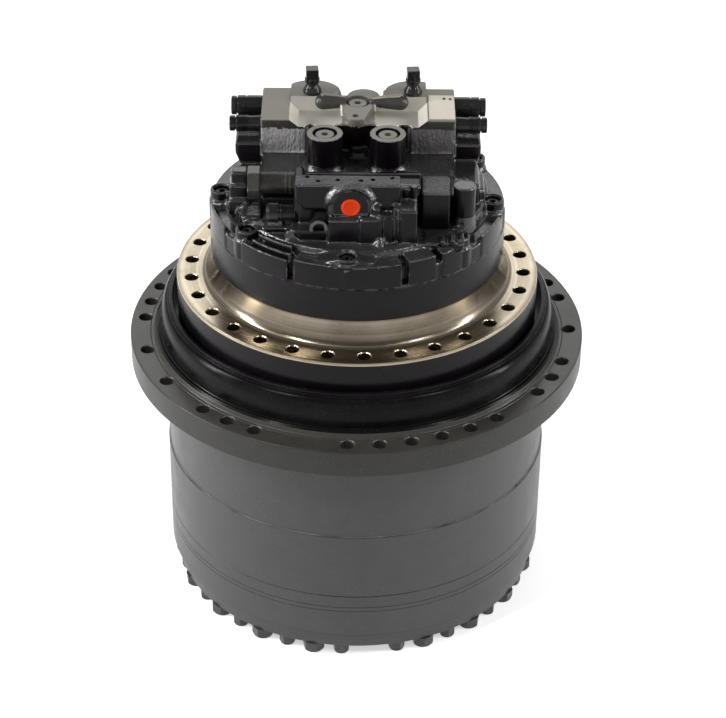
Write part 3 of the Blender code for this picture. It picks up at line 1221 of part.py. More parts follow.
def build():
    clear_scene()
    body_paint = make_material("drum_paint", (0.055, 0.052, 0.053), 0.42, 0.3)
    flange_paint = make_material("flange_paint", (0.025, 0.025, 0.022), 0.38, 0.3)
    gloss_paint = make_material("motor_gloss_black", (0.010, 0.010, 0.011), 0.18, 0.2)
    machined = make_material("machined_steel", (0.52, 0.49, 0.43), 0.30, 1.0)
    gear_steel = make_material("gear_steel", (0.40, 0.40, 0.41), 0.28, 1.0)
    cast_iron = make_material("cast_iron", (0.16, 0.16, 0.16), 0.55, 0.8)
    rubber = make_material("black_rubber", (0.015, 0.015, 0.015), 0.70, 0.0)
    friction = make_material("friction_lining", (0.12, 0.09, 0.07), 0.80, 0.0)
    red_plastic = make_material("red_plug", (0.85, 0.07, 0.02), 0.35, 0.0)

    hub_axis = add_empty("hub_axis", (0, 0, Z_HUB))
    carrier_axis = add_empty("first_carrier_axis", (0, 0, Z_FIRST_PLATE))
    input_axis = add_empty("input_axis", (0, 0, Z_SHAFT_WALL))
    upper_cage_axis = add_empty("upper_cage_axis", (0, 0, Z_UPPER_BEARING))
    lower_cage_axis = add_empty("lower_cage_axis", (0, 0, Z_LOWER_BEARING))
    swash_axis = add_empty("swash_axis", (0, 0, Z_SWASH_AXIS), (SWASH_TILT, 0, 0))
    piston_axis = add_empty("brake_piston_axis", (0, 0, Z_BRAKE))
    spool_axis = add_empty("spool_axis", (0, SPOOL_Y, Z_DECK + SPOOL_RISE))

    add_hub(flange_paint)
    add_ring_gears(body_paint)
    add_end_cover(body_paint)
    add_drain_plugs(machined)
    add_thrust_pad(gear_steel)
    add_bearing("lower_bearing", Z_LOWER_BEARING, gear_steel, machined, lower_cage_axis)
    add_bearing("upper_bearing", Z_UPPER_BEARING, gear_steel, machined, upper_cage_axis)
    add_seal_rings(cast_iron)
    add_motor_housing(gloss_paint)
    add_bearing_nut(gear_steel)
    add_first_carrier(cast_iron, gear_steel, carrier_axis)
    add_second_carrier(cast_iron, gear_steel)
    add_planets("first_planet", FIRST_PLANET_TEETH, FIRST_ARM, FIRST_PIN_RADIUS, Z_FIRST_PLANET,
                FIRST_PLANET_WIDTH, gear_steel, carrier_axis)
    add_planets("second_planet", SECOND_PLANET_TEETH, SECOND_ARM, SECOND_PIN_RADIUS,
                Z_SECOND_PLANET, SECOND_PLANET_WIDTH, gear_steel)
    add_suns(gear_steel, carrier_axis, input_axis)
    add_motor_shaft(gear_steel, input_axis)
    add_shaft_supports(gear_steel, rubber)
    add_cylinder_block(gear_steel, input_axis)
    add_valve_plate(gear_steel)
    add_swash_plate(gear_steel, swash_axis)
    add_brake(gear_steel, friction, cast_iron, input_axis, piston_axis)
    add_rear_cover(gloss_paint)
    add_port_plugs(gloss_paint)
    add_pilot_plug(red_plastic)
    add_relief_valves(gloss_paint)
    add_spool_parts(gloss_paint, gear_steel, gloss_paint, spool_axis)
    add_pilot_valve(gloss_paint)
    add_fittings(gloss_paint)


build()
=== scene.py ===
"""Looks of the excavator final drive: its castings, machined faces, paint and studio."""
import bmesh
import bpy
import json
from math import acos, cos, pi, radians, sin, tan
from mathutils import Matrix, Vector


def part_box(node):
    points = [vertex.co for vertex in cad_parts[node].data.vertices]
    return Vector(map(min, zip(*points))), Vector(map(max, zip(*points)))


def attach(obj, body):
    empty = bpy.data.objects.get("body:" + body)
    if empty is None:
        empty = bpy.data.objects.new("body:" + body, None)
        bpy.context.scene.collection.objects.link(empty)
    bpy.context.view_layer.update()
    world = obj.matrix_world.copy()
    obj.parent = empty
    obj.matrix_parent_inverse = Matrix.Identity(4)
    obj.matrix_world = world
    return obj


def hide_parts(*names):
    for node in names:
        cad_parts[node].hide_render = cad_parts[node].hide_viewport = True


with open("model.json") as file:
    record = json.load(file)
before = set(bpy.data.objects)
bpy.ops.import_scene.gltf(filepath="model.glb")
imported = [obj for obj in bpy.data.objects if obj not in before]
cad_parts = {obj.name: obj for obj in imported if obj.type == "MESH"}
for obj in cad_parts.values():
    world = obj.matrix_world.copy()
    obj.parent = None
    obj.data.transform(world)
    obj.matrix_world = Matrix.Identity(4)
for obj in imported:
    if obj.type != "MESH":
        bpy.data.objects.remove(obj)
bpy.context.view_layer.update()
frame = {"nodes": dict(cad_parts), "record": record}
nodes = frame["nodes"]


def bottom(node):
    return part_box(node)[0].z


def top(node):
    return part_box(node)[1].z


def reach(node):
    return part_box(node)[1].x


# Steps of round shapes
FULL_TURN = 2 * pi
TURN_STEPS = 160
SMALL_STEPS = 32
HOLE_STEPS = 24
ARC_STEPS = 4
MERGE = 0.00001
OVERRUN = 0.002

# Heights of the stack
Z_COVER = 0.016
Z_FIRST_RING = bottom("first_ring_gear")
Z_SECOND_RING = bottom("second_ring_gear")
Z_HUB = bottom("hub")
Z_FLANGE = 0.352
Z_FLANGE_TOP = 0.3905
Z_SHOULDER = 0.401
Z_DOME_TOP = 0.440
Z_LIP_TOP = top("hub")
Z_FRAME = 0.450
Z_FRAME_TOP = 0.485
Z_FILLET_TOP = 0.521
Z_JOINT = top("motor_housing")
Z_REAR_COVER = bottom("rear_cover")
Z_DECK = 0.6123
Z_FLOOR = 0.6503
Z_WEB = 0.6903
Z_TOP = 0.7003
Z_PORT = top("rear_cover")

# Radii
RING_GEAR_RADIUS = reach("first_ring_gear")
COVER_RADIUS = reach("end_cover")
DRUM_RADIUS = 0.270
FLANGE_RADIUS = reach("hub")
STEP_RADIUS = 0.284
SHOULDER_RADIUS = 0.278
LIP_RADIUS = 0.265
LIP_INNER_RADIUS = 0.259
FRAME_FLANGE_RADIUS = reach("motor_housing")
HOUSING_RADIUS = reach("rear_cover")


# Mesh tools


def rounded(corners):
    """Outline points of (x, y, fillet) corners, with an arc where a corner has a fillet."""
    points = []
    for index, corner in enumerate(corners):
        here = Vector(corner[:2])
        if len(corner) < 3:
            points.append(tuple(here))
            continue
        before = Vector(corners[index - 1][:2]) - here
        after = Vector(corners[(index + 1) % len(corners)][:2]) - here
        half = before.angle(after) / 2
        before.normalize()
        after.normalize()
        centre = here + (before + after).normalized() * corner[2] / sin(half)
        start = here + before * corner[2] / tan(half) - centre
        end = here + after * corner[2] / tan(half) - centre
        sweep = pi - 2 * half
        for step in range(ARC_STEPS + 1):
            share = step / ARC_STEPS
            spoke = (start * sin((1 - share) * sweep) + end * sin(share * sweep)) / sin(sweep)
            points.append(tuple(centre + spoke))
    return points


def spun(profile, steps=TURN_STEPS, centre=(0, 0)):
    """Turn a closed (radius, height) outline about an upright line."""
    bm = bmesh.new()
    points = [bm.verts.new((radius, 0, height)) for radius, height in profile]
    edges = [bm.edges.new((points[i - 1], points[i])) for i in range(len(points))]
    bmesh.ops.spin(bm, geom=points + edges, cent=(0, 0, 0), axis=(0, 0, 1), angle=FULL_TURN,
                   steps=steps, use_merge=True)
    bmesh.ops.remove_doubles(bm, verts=bm.verts, dist=MERGE)
    bm.transform(Matrix.Translation((*centre, 0)))
    return bm


def extruded(outlines, low, high):
    """Raise an outline, with any further outlines as holes, from one height to another."""
    bm = bmesh.new()
    for outline in outlines:
        points = [bm.verts.new((x, y, low)) for x, y in outline]
        for i in range(len(points)):
            bm.edges.new((points[i - 1], points[i]))
    bmesh.ops.triangle_fill(bm, use_beauty=True, edges=bm.edges, normal=(0, 0, 1))
    lifted = bmesh.ops.extrude_face_region(bm, geom=bm.faces[:])
    raised = [item for item in lifted["geom"] if isinstance(item, bmesh.types.BMVert)]
    bmesh.ops.translate(bm, verts=raised, vec=(0, 0, high - low))
    return bm


def ring(radius, steps, centre=(0, 0), start=0.0):
    turns = [start + FULL_TURN * i / steps for i in range(steps)]
    return [(centre[0] + radius * cos(turn), centre[1] + radius * sin(turn)) for turn in turns]


def polar(radius, angle):
    """Point at a radius; the angle runs from the front (-Y) towards +X."""
    return radius * sin(angle), -radius * cos(angle)


def post(radius, low, high, centre=(0, 0), top_radius=None, steps=SMALL_STEPS):
    bm = bmesh.new()
    place = Matrix.Translation((*centre, (low + high) / 2))
    bmesh.ops.create_cone(bm, cap_ends=True, cap_tris=False, segments=steps, radius1=radius,
                          radius2=radius if top_radius is None else top_radius,
                          depth=high - low, matrix=place)
    return bm


def softened(bm, soft):
    """Round all edges of a solid."""
    if soft:
        bmesh.ops.bevel(bm, geom=bm.edges[:], offset=soft, offset_type="OFFSET", affect="EDGES",
                        segments=3, profile=0.5, material=-1)
    return bm


def slab(x, y, z, soft=0.0, turn=0.0):
    """A block between two corners, with its edges rounded."""
    bm = bmesh.new()
    size = Matrix.Diagonal((x[1] - x[0], y[1] - y[0], z[1] - z[0], 1))
    place = Matrix.Translation(((x[0] + x[1]) / 2, (y[0] + y[1]) / 2, (z[0] + z[1]) / 2))
    bmesh.ops.create_cube(bm, size=1, matrix=place @ Matrix.Rotation(turn, 4, "Z") @ size)
    return softened(bm, soft)


def along_x(bm, x, y, z, side=1):
    """Lay a shape that was built up from height 0 so that it runs outward along X."""
    bm.transform(Matrix.Translation((x, y, z)) @ Matrix.Rotation(side * pi / 2, 4, "Y"))
    return bm


def along_y(bm, x, y, z, side=1):
    bm.transform(Matrix.Translation((x, y, z)) @ Matrix.Rotation(-side * pi / 2, 4, "X"))
    return bm


def turned_about_z(bm, angle):
    bm.transform(Matrix.Rotation(angle, 4, "Z"))
    return bm


def together(shapes):
    bm = bmesh.new()
    for shape in shapes:
        mesh = bpy.data.meshes.new("shape")
        shape.to_mesh(mesh)
        shape.free()
        bm.from_mesh(mesh)
        bpy.data.meshes.remove(mesh)
    return bm


def as_object(bm, name):
    bmesh.ops.remove_doubles(bm, verts=bm.verts, dist=MERGE)
    bmesh.ops.recalc_face_normals(bm, faces=bm.faces)
    mesh = bpy.data.meshes.new(name)
    bm.to_mesh(mesh)
    bm.free()
    thing = bpy.data.objects.new(name, mesh)
    bpy.context.collection.objects.link(thing)
    return thing


def settle(thing):
    """Turn a piece's modifiers into plain mesh."""
    graph = bpy.context.evaluated_depsgraph_get()
    mesh = bpy.data.meshes.new_from_object(thing.evaluated_get(graph))
    old = thing.data
    thing.modifiers.clear()
    thing.data = mesh
    bpy.data.meshes.remove(old)
    mesh.name = thing.name


def carve(thing, cutter, operation="DIFFERENCE", solver="EXACT"):
    helper = as_object(cutter, "cutter")
    helper.hide_render = True
    cut = thing.modifiers.new("cut", "BOOLEAN")
    cut.operation = operation
    cut.solver = solver
    cut.object = helper
    settle(thing)
    bpy.data.objects.remove(helper, do_unlink=True)


def cast(thing, grid, rounds):
    """Melt overlapping solids into one casting whose inner corners have fillets."""
    melt = thing.modifiers.new("melt", "REMESH")
    melt.mode = "VOXEL"
    melt.voxel_size = grid
    melt.use_smooth_shade = True
    settle(thing)
    soften = thing.modifiers.new("soften", "SMOOTH")
    soften.factor = 0.5
    soften.iterations = rounds
    settle(thing)


def thinned(thing, share):
    """Thin out the mesh of a casting, most where it is flat."""
    thin = thing.modifiers.new("thin", "DECIMATE")
    thin.ratio = share
    settle(thing)


def shaded(thing, angle):
    mesh = thing.data
    mesh.shade_smooth()
    mesh.set_sharp_from_angle(angle=radians(angle))
    even = thing.modifiers.new("even", "WEIGHTED_NORMAL")
    even.keep_sharp = True
    settle(thing)


def dressed(thing, finishes, body, stands_for=(), choose=None, angle=32):
    """Shade a finished piece and give it its finishes, its body and the nodes it stands for."""
    shaded(thing, angle)
    thing.data.materials.clear()
    names = finishes.split()
    for name in names:
        thing.data.materials.append(FINISH[name])
    for face in thing.data.polygons:
        zone = choose(face.center, face.normal) if choose else names[0]
        face.material_index = names.index(zone)
    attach(thing, body)
    if stands_for:
        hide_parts(*stands_for)
    return thing


# Materials


def add(tree, kind, values=None, **settings):
    node = tree.nodes.new("ShaderNode" + kind)
    for key, value in settings.items():
        setattr(node, key, value)
    for key, value in (values or {}).items():
        if isinstance(value, bpy.types.NodeSocket):
            tree.links.new(value, node.inputs[key])
        else:
            node.inputs[key].default_value = value
    return node


def group(name, inputs, outputs):
    tree = bpy.data.node_groups.new(name, "ShaderNodeTree")
    for label, kind, value in inputs:
        socket = tree.interface.new_socket(label, in_out="INPUT", socket_type="NodeSocket" + kind)
        if value is not None:
            socket.default_value = value
    for label in outputs:
        tree.interface.new_socket(label, in_out="OUTPUT", socket_type="NodeSocketFloat")
    return tree, tree.nodes.new("NodeGroupInput"), tree.nodes.new("NodeGroupOutput")


def maths(tree, operation, first, second=None):
    values = {0: first}
    if second is not None:
        values[1] = second
    return add(tree, "Math", values, operation=operation).outputs[0]


def make_cast_grain():
    """Sand-cast skin: lumps with fine grit on them."""
    tree, given, out = group("cast_grain", [("Vector", "Vector", None), ("Size", "Float", 300.0)],
                             ["Height", "Tone"])
    size = given.outputs["Size"]
    lumps = add(tree, "TexNoise", {"Vector": given.outputs["Vector"], "Scale": size,
                                   "Detail": 3.0, "Roughness": 0.6})
    pits = add(tree, "TexVoronoi", {"Vector": given.outputs["Vector"],
                                    "Scale": maths(tree, "MULTIPLY", size, 0.7)},
               feature="SMOOTH_F1")
    broad = add(tree, "TexNoise", {"Vector": given.outputs["Vector"],
                                   "Scale": maths(tree, "MULTIPLY", size, 0.06), "Detail": 2.0})
    height = maths(tree, "ADD", lumps.outputs["Fac"],
                   maths(tree, "MULTIPLY", pits.outputs["Distance"], 0.5))
    tree.links.new(height, out.inputs["Height"])
    tree.links.new(broad.outputs["Fac"], out.inputs["Tone"])
    return tree


def make_turned_marks():
    """Fine rings that a lathe tool leaves about the upright axis."""
    tree, given, out = group("turned_marks",
                             [("Vector", "Vector", None), ("Pitch", "Float", 900.0)],
                             ["Height", "Tone", "Patch"])
    flat = add(tree, "VectorMath", {0: given.outputs["Vector"], 1: (1, 1, 0)},
               operation="MULTIPLY")
    radius = add(tree, "VectorMath", {0: flat.outputs[0]}, operation="LENGTH").outputs["Value"]
    split = add(tree, "SeparateXYZ", {0: given.outputs["Vector"]})
    along = maths(tree, "ADD", radius, maths(tree, "MULTIPLY", split.outputs["Z"], 1.3))
    fine = add(tree, "TexNoise", {"W": maths(tree, "MULTIPLY", along, given.outputs["Pitch"]),
                                  "Scale": 1.0, "Detail": 2.0}, noise_dimensions="1D")
    wide = add(tree, "TexNoise", {"W": maths(tree, "MULTIPLY", along, 90.0),
                                  "Scale": 1.0, "Detail": 2.0}, noise_dimensions="1D")
    patch = add(tree, "TexNoise", {"Vector": given.outputs["Vector"], "Scale": 9.0,
                                   "Detail": 4.0, "Roughness": 0.6})
    tree.links.new(fine.outputs["Fac"], out.inputs["Height"])
    tree.links.new(wide.outputs["Fac"], out.inputs["Tone"])
    tree.links.new(patch.outputs["Fac"], out.inputs["Patch"])
    return tree


def make_flecks():
    """Scattered specks: dust, oil spots or metal glints."""
    tree, given, out = group("flecks", [("Vector", "Vector", None), ("Size", "Float", 300.0),
                                        ("Share", "Float", 0.2)], ["Mask"])
    cells = add(tree, "TexVoronoi", {"Vector": given.outputs["Vector"],
                                     "Scale": given.outputs["Size"], "Randomness": 1.0})
    chance = add(tree, "SeparateColor", {0: cells.outputs["Color"]})
    picked = maths(tree, "LESS_THAN", chance.outputs[0], given.outputs["Share"])
    near = maths(tree, "LESS_THAN", cells.outputs["Distance"], 0.32)
    tree.links.new(maths(tree, "MULTIPLY", picked, near), out.inputs["Mask"])
    return tree


def make_edge_highlight_group():
    """Mask of outer edges, broken up by noise, for a painted highlight along them."""
    tree, given, out = group("painted_edge_highlight", [("Vector", "Vector", None), ("Width", "Float", 0.001),
                                           ("Size", "Float", 120.0)], ["Mask"])
    soft = add(tree, "Bevel", {"Radius": given.outputs["Width"]}, samples=4)
    plain = add(tree, "NewGeometry")
    match = add(tree, "VectorMath", {0: soft.outputs[0], 1: plain.outputs["Normal"]},
                operation="DOT_PRODUCT").outputs["Value"]
    edge = add(tree, "MapRange", {"Value": match, "From Min": 0.985, "From Max": 0.86,
                                  "To Min": 0.0, "To Max": 1.0})
    patch = add(tree, "TexNoise", {"Vector": given.outputs["Vector"],
                                   "Scale": given.outputs["Size"], "Detail": 3.0})
    broken = add(tree, "MapRange", {"Value": patch.outputs["Fac"], "From Min": 0.42,
                                    "From Max": 0.6})
    tree.links.new(maths(tree, "MULTIPLY", edge.outputs[0], broken.outputs[0]),
                   out.inputs["Mask"])
    return tree


CAST_GRAIN = make_cast_grain()
TURNED_MARKS = make_turned_marks()
FLECKS = make_flecks()
EDGE_HIGHLIGHT_GROUP = make_edge_highlight_group()


def place(tree, node_group, vector, **values):
    node = tree.nodes.new("ShaderNodeGroup")
    node.node_tree = node_group
    tree.links.new(vector, node.inputs["Vector"])
    for key, value in values.items():
        node.inputs[key].default_value = value
    return node


def start_material(name, metallic, **fixed):
    material = bpy.data.materials.new(name)
    material.use_nodes = True
    tree = material.node_tree
    shader = tree.nodes["Principled BSDF"]
    shader.inputs["Metallic"].default_value = metallic
    for key, value in fixed.items():
        shader.inputs[key.replace("_", " ")].default_value = value
    vector = add(tree, "TexCoord").outputs["Object"]
    return material, tree, shader, vector


def mixed(tree, share, first, second):
    """Blend two colours; each is a colour or a socket."""
    node = add(tree, "Mix", {0: share}, data_type="RGBA")
    for index, value in ((6, first), (7, second)):
        if isinstance(value, bpy.types.NodeSocket):
            tree.links.new(value, node.inputs[index])
        else:
            node.inputs[index].default_value = (*value, 1)
    return node.outputs[2]


def spread(tree, value, low, high, from_low=0.3, from_high=0.7):
    return add(tree, "MapRange", {"Value": value, "From Min": from_low, "From Max": from_high,
                                  "To Min": low, "To Max": high}).outputs[0]


def bump(tree, shader, height, strength, distance, under=None):
    values = {"Height": height, "Strength": strength, "Distance": distance}
    if under is not None:
        values["Normal"] = under
    node = add(tree, "Bump", values)
    tree.links.new(node.outputs[0], shader.inputs["Normal"])
    return node.outputs[0]


def paint(name, colour, second, rough, size, relief, painted_highlight=None, dust=None, coat=0.0, shine=0.5,
          stretch=None):
    """Paint over a casting: grain, uneven gloss, a painted highlight along the edges and specks of
    dust.
    """
    material, tree, shader, vector = start_material(name, 0.0, Coat_Roughness=0.12,
                                                    Specular_IOR_Level=shine)
    if stretch:
        vector = add(tree, "Mapping", {"Vector": vector, "Scale": stretch}).outputs[0]
    grain = place(tree, CAST_GRAIN, vector, Size=size)
    tone = mixed(tree, spread(tree, grain.outputs["Tone"], 0.0, 1.0), colour, second)
    if dust:
        specks = place(tree, FLECKS, vector, Size=420.0, Share=0.10)
        share = maths(tree, "MULTIPLY", specks.outputs["Mask"], 0.5)
        tone = mixed(tree, share, tone, dust)
    # Painted highlight: a pale colour along the outer edges stands in for the lamps' reflections
    # there.
    if painted_highlight:
        edge = place(tree, EDGE_HIGHLIGHT_GROUP, vector, Width=0.0026, Size=90.0)
        tone = mixed(tree, maths(tree, "MULTIPLY", edge.outputs["Mask"], 0.7), tone, painted_highlight)
    tree.links.new(tone, shader.inputs["Base Color"])
    tree.links.new(spread(tree, grain.outputs["Tone"], rough[0], rough[1]),
                   shader.inputs["Roughness"])
    if coat:
        tree.links.new(spread(tree, grain.outputs["Tone"], coat, coat * 0.6),
                       shader.inputs["Coat Weight"])
    bump(tree, shader, grain.outputs["Height"], 1.0, relief)
    return material


def turned_metal(name, colour, second, rough, pitch, relief, stain):
    """Bright metal with lathe marks, uneven tone and faint stains."""
    material, tree, shader, vector = start_material(name, 1.0)
    marks = place(tree, TURNED_MARKS, vector, Pitch=pitch)
    tone = mixed(tree, spread(tree, marks.outputs["Tone"], 0.0, 1.0), colour, second)
    tone = mixed(tree, spread(tree, marks.outputs["Patch"], 0.0, 0.55, 0.45, 0.75), tone, stain)
    specks = place(tree, FLECKS, vector, Size=260.0, Share=0.12)
    tone = mixed(tree, maths(tree, "MULTIPLY", specks.outputs["Mask"], 0.5), tone, stain)
    tree.links.new(tone, shader.inputs["Base Color"])
    uneven = maths(tree, "ADD", spread(tree, marks.outputs["Tone"], rough[0], rough[1]),
                   spread(tree, marks.outputs["Patch"], 0.0, 0.12, 0.4, 0.8))
    tree.links.new(uneven, shader.inputs["Roughness"])
    bump(tree, shader, marks.outputs["Height"], 0.6, relief)
    return material


def plain_metal(name, colour, second, rough, metallic, size, relief, shine=0.5):
    """Bare casting, ground steel or worn fastener metal."""
    material, tree, shader, vector = start_material(name, metallic, Specular_IOR_Level=shine)
    grain = place(tree, CAST_GRAIN, vector, Size=size)
    tone = mixed(tree, spread(tree, grain.outputs["Tone"], 0.0, 1.0), colour, second)
    specks = place(tree, FLECKS, vector, Size=500.0, Share=0.1)
    tone = mixed(tree, maths(tree, "MULTIPLY", specks.outputs["Mask"], 0.25), tone, second)
    tree.links.new(tone, shader.inputs["Base Color"])
    tree.links.new(spread(tree, grain.outputs["Tone"], rough[0], rough[1]),
                   shader.inputs["Roughness"])
    bump(tree, shader, grain.outputs["Height"], 1.0, relief)
    return material


def make_finishes():
    return {
        "drum": paint("drum_charcoal_paint", (0.052, 0.050, 0.052), (0.066, 0.063, 0.066),
                      (0.34, 0.44), 500.0, 0.00008, dust=(0.15, 0.14, 0.13), coat=0.1, shine=0.4),
        "flange": paint("flange_olive_black_paint", (0.038, 0.037, 0.033), (0.052, 0.050, 0.044),
                        (0.32, 0.42), 420.0, 0.00010, dust=(0.14, 0.13, 0.11), coat=0.1),
        "dome": paint("dome_gloss_black_paint", (0.005, 0.0045, 0.005), (0.009, 0.0085, 0.009),
                      (0.16, 0.26), 500.0, 0.00006, dust=(0.05, 0.045, 0.04), shine=0.09),
        "rim": paint("flange_rim_paint", (0.021, 0.0205, 0.019), (0.029, 0.028, 0.025),
                     (0.32, 0.42), 420.0, 0.00010, dust=(0.12, 0.11, 0.10), shine=0.35),
        # The gloss, smooth and deck paints carry a pale painted highlight along their edges.
        "gloss": paint("motor_gloss_black_paint", (0.012, 0.011, 0.012), (0.022, 0.021, 0.022),
                       (0.10, 0.20), 210.0, 0.0009, painted_highlight=(0.34, 0.33, 0.34), shine=0.95),
        "smooth": paint("motor_smooth_black_paint", (0.0045, 0.0035, 0.0045),
                        (0.009, 0.007, 0.009), (0.20, 0.32), 260.0, 0.00012,
                        painted_highlight=(0.26, 0.25, 0.26), shine=0.16),
        # Painted light: a lighter copy of the black paint for upward faces, so that the tops read as
        # lit.
        "deck": paint("motor_black_paint_painted_lit_tops", (0.016, 0.0155, 0.0165), (0.034, 0.033, 0.035),
                      (0.14, 0.28), 180.0, 0.0006, painted_highlight=(0.26, 0.25, 0.26),
                      dust=(0.09, 0.085, 0.085), shine=0.65),
        "satin": paint("fitting_satin_black_paint", (0.010, 0.010, 0.010), (0.018, 0.018, 0.017),
                       (0.20, 0.32), 300.0, 0.00005, dust=(0.08, 0.07, 0.06), shine=0.4),
        # Painted light: the rough cast paints are far paler than the black paint they stand for,
        # painting the light their grain catches; the first is the lit copy, the second the shaded one.
        "rough": paint("motor_rough_cast_painted_lit_side", (0.30, 0.29, 0.295), (0.48, 0.465, 0.47),
                       (0.14, 0.26), 340.0, 0.0032, shine=0.9, stretch=(1.0, 1.0, 0.45)),
        "coarse": paint("motor_rough_cast_painted_shaded_side", (0.09, 0.085, 0.088), (0.20, 0.19, 0.19),
                        (0.14, 0.28), 320.0, 0.0030, shine=0.7, stretch=(1.0, 1.0, 0.5)),
        "grit": paint("motor_grit_cast_paint", (0.035, 0.033, 0.035), (0.08, 0.077, 0.08),
                      (0.16, 0.28), 300.0, 0.0024, shine=0.6, stretch=(1.0, 1.0, 0.7)),
        "machined": turned_metal("machined_warm_steel", (0.48, 0.42, 0.325), (0.38, 0.325, 0.24),
                                 (0.18, 0.32), 1400.0, 0.00004, (0.24, 0.195, 0.14)),
        # Painted shade: a darker copy of the machined steel for the turned fillet of the frame flange.
        "fillet": turned_metal("fillet_steel_painted_shade", (0.27, 0.235, 0.185), (0.16, 0.135, 0.10),
                               (0.14, 0.26), 1100.0, 0.00006, (0.10, 0.08, 0.055)),
        # Painted light: the milled recess is the top's steel made lighter against the shade of the
        # horns and ports; its slopes are near white, a painted reflection of the lamps.
        "recess": plain_metal("milled_recess_steel_painted_light", (0.40, 0.38, 0.335), (0.50, 0.475, 0.42),
                              (0.40, 0.52), 0.45, 400.0, 0.00005),
        "bevel": plain_metal("milled_slope_painted_reflection", (0.78, 0.74, 0.66), (0.90, 0.86, 0.77),
                             (0.40, 0.52), 0.30, 400.0, 0.00005),
        "top": plain_metal("machined_grey_top", (0.20, 0.19, 0.165), (0.25, 0.235, 0.205),
                           (0.46, 0.56), 0.45, 400.0, 0.00005),
        "gear": plain_metal("ground_gear_steel", (0.36, 0.36, 0.37), (0.45, 0.45, 0.46),
                            (0.22, 0.34), 1.0, 700.0, 0.00002),
        "cast_iron": plain_metal("bare_cast_iron", (0.13, 0.13, 0.13), (0.19, 0.185, 0.18),
                                 (0.5, 0.64), 0.8, 450.0, 0.00025),
        "bright": plain_metal("bright_steel", (0.50, 0.47, 0.42), (0.60, 0.57, 0.52),
                              (0.24, 0.36), 1.0, 600.0, 0.00003),
        "sealant": plain_metal("joint_sealant", (0.03, 0.03, 0.032), (0.22, 0.21, 0.2),
                               (0.25, 0.6), 0.3, 500.0, 0.0008),
        "rubber": plain_metal("seal_rubber", (0.013, 0.013, 0.013), (0.022, 0.022, 0.022),
                              (0.6, 0.75), 0.0, 700.0, 0.00006),
        "lining": plain_metal("friction_paper", (0.10, 0.08, 0.06), (0.15, 0.11, 0.085),
                              (0.75, 0.9), 0.0, 900.0, 0.0001),
        "red": plain_metal("red_cap_plastic", (0.86, 0.045, 0.006), (0.92, 0.075, 0.010),
                           (0.3, 0.4), 0.0, 250.0, 0.00004, 0.12),
        "plate": plain_metal("bare_nameplate", (0.62, 0.57, 0.48), (0.72, 0.67, 0.58),
                             (0.42, 0.55), 0.35, 300.0, 0.00006),
    }


FINISH = make_finishes()
SLOT_FINISH = {
    "drum_paint": "drum", "flange_paint": "flange", "motor_paint": "gloss",
    "machined_steel": "bright", "gear_steel": "gear", "cast_iron": "cast_iron",
    "black_rubber": "rubber", "friction_lining": "lining", "red_plastic": "red"}


def finish_frame_nodes():
    """Every node of the frame gets a worked-out material in place of its plain colour."""
    for name, thing in nodes.items():
        thing.data.materials.clear()
        thing.data.materials.append(FINISH[SLOT_FINISH[slot_of(name)]])


def slot_of(node):
    for part in frame["record"]["subparts"]:
        if part["node"] == node:
            return part["material_slot"]
    raise ValueError("no slot for " + node)


# Gears: the ring gears keep their inner teeth
MODULE = 0.006
PRESSURE_ANGLE = radians(20)
RING_TEETH = 72
SHIFT_SHARE = 0.35
RING_TIP_RADIUS = MODULE * (RING_TEETH / 2 - 1 - SHIFT_SHARE)
RING_ROOT_RADIUS = MODULE * (RING_TEETH / 2 + 1.25 - SHIFT_SHARE)
FLANK_STEPS = 5


def involute(angle):
    return tan(angle) - angle


def tooth_spaces():
    """Outline of a ring gear's bore: the space between teeth is widest at the tips."""
    pitch = MODULE * RING_TEETH / 2
    base = pitch * cos(PRESSURE_ANGLE)
    at_pitch = pi / (2 * RING_TEETH) - 2 * SHIFT_SHARE * tan(PRESSURE_ANGLE) / RING_TEETH
    outline = []
    for tooth in range(RING_TEETH):
        middle = pi / RING_TEETH + FULL_TURN * tooth / RING_TEETH
        for side in (-1, 1):
            steps = range(FLANK_STEPS) if side < 0 else reversed(range(FLANK_STEPS))
            for step in steps:
                share = step / (FLANK_STEPS - 1)
                radius = RING_TIP_RADIUS + (RING_ROOT_RADIUS - RING_TIP_RADIUS) * share
                half = (at_pitch + involute(PRESSURE_ANGLE)
                        - involute(acos(min(base / radius, 1))))
                outline.append((radius * cos(middle + side * half),
                                radius * sin(middle + side * half)))
    return outline


# Hub side
EDGE = 0.0012
SPROCKET_GRID = 44
SPROCKET_GRID_START = radians(-2.06)
SPROCKET_SOLID_PLACES = (-10, -8, -6, -2, -1, 6, 10, 12, 15, 17, 19, 22, -20, -17)
SPROCKET_HOLE_CIRCLE = FLANGE_RADIUS - 0.020
SPROCKET_HOLE_RADIUS = 0.0095
HOLE_CHAMFER = 0.0012
SEAT_LINE_RADIUS = 0.2915
GEAR_ROOM_RADIUS = 0.2194
HUB_BORE_RADIUS = 0.216
SEAL_BORE_RADIUS = 0.239
Z_LOWER_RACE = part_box("lower_bearing_outer_race")
Z_UPPER_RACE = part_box("upper_bearing_outer_race")
Z_SEAL = bottom("rotating_seal_ring")


def chamfered_hole(radius, low, high, spot):
    """Cutter of a hole whose mouth is opened out by a chamfer."""
    wide = radius + HOLE_CHAMFER + OVERRUN
    profile = [(0, low), (radius, low), (radius, high - HOLE_CHAMFER),
               (wide, high + OVERRUN), (0, high + OVERRUN)]
    return spun(profile, HOLE_STEPS, spot)


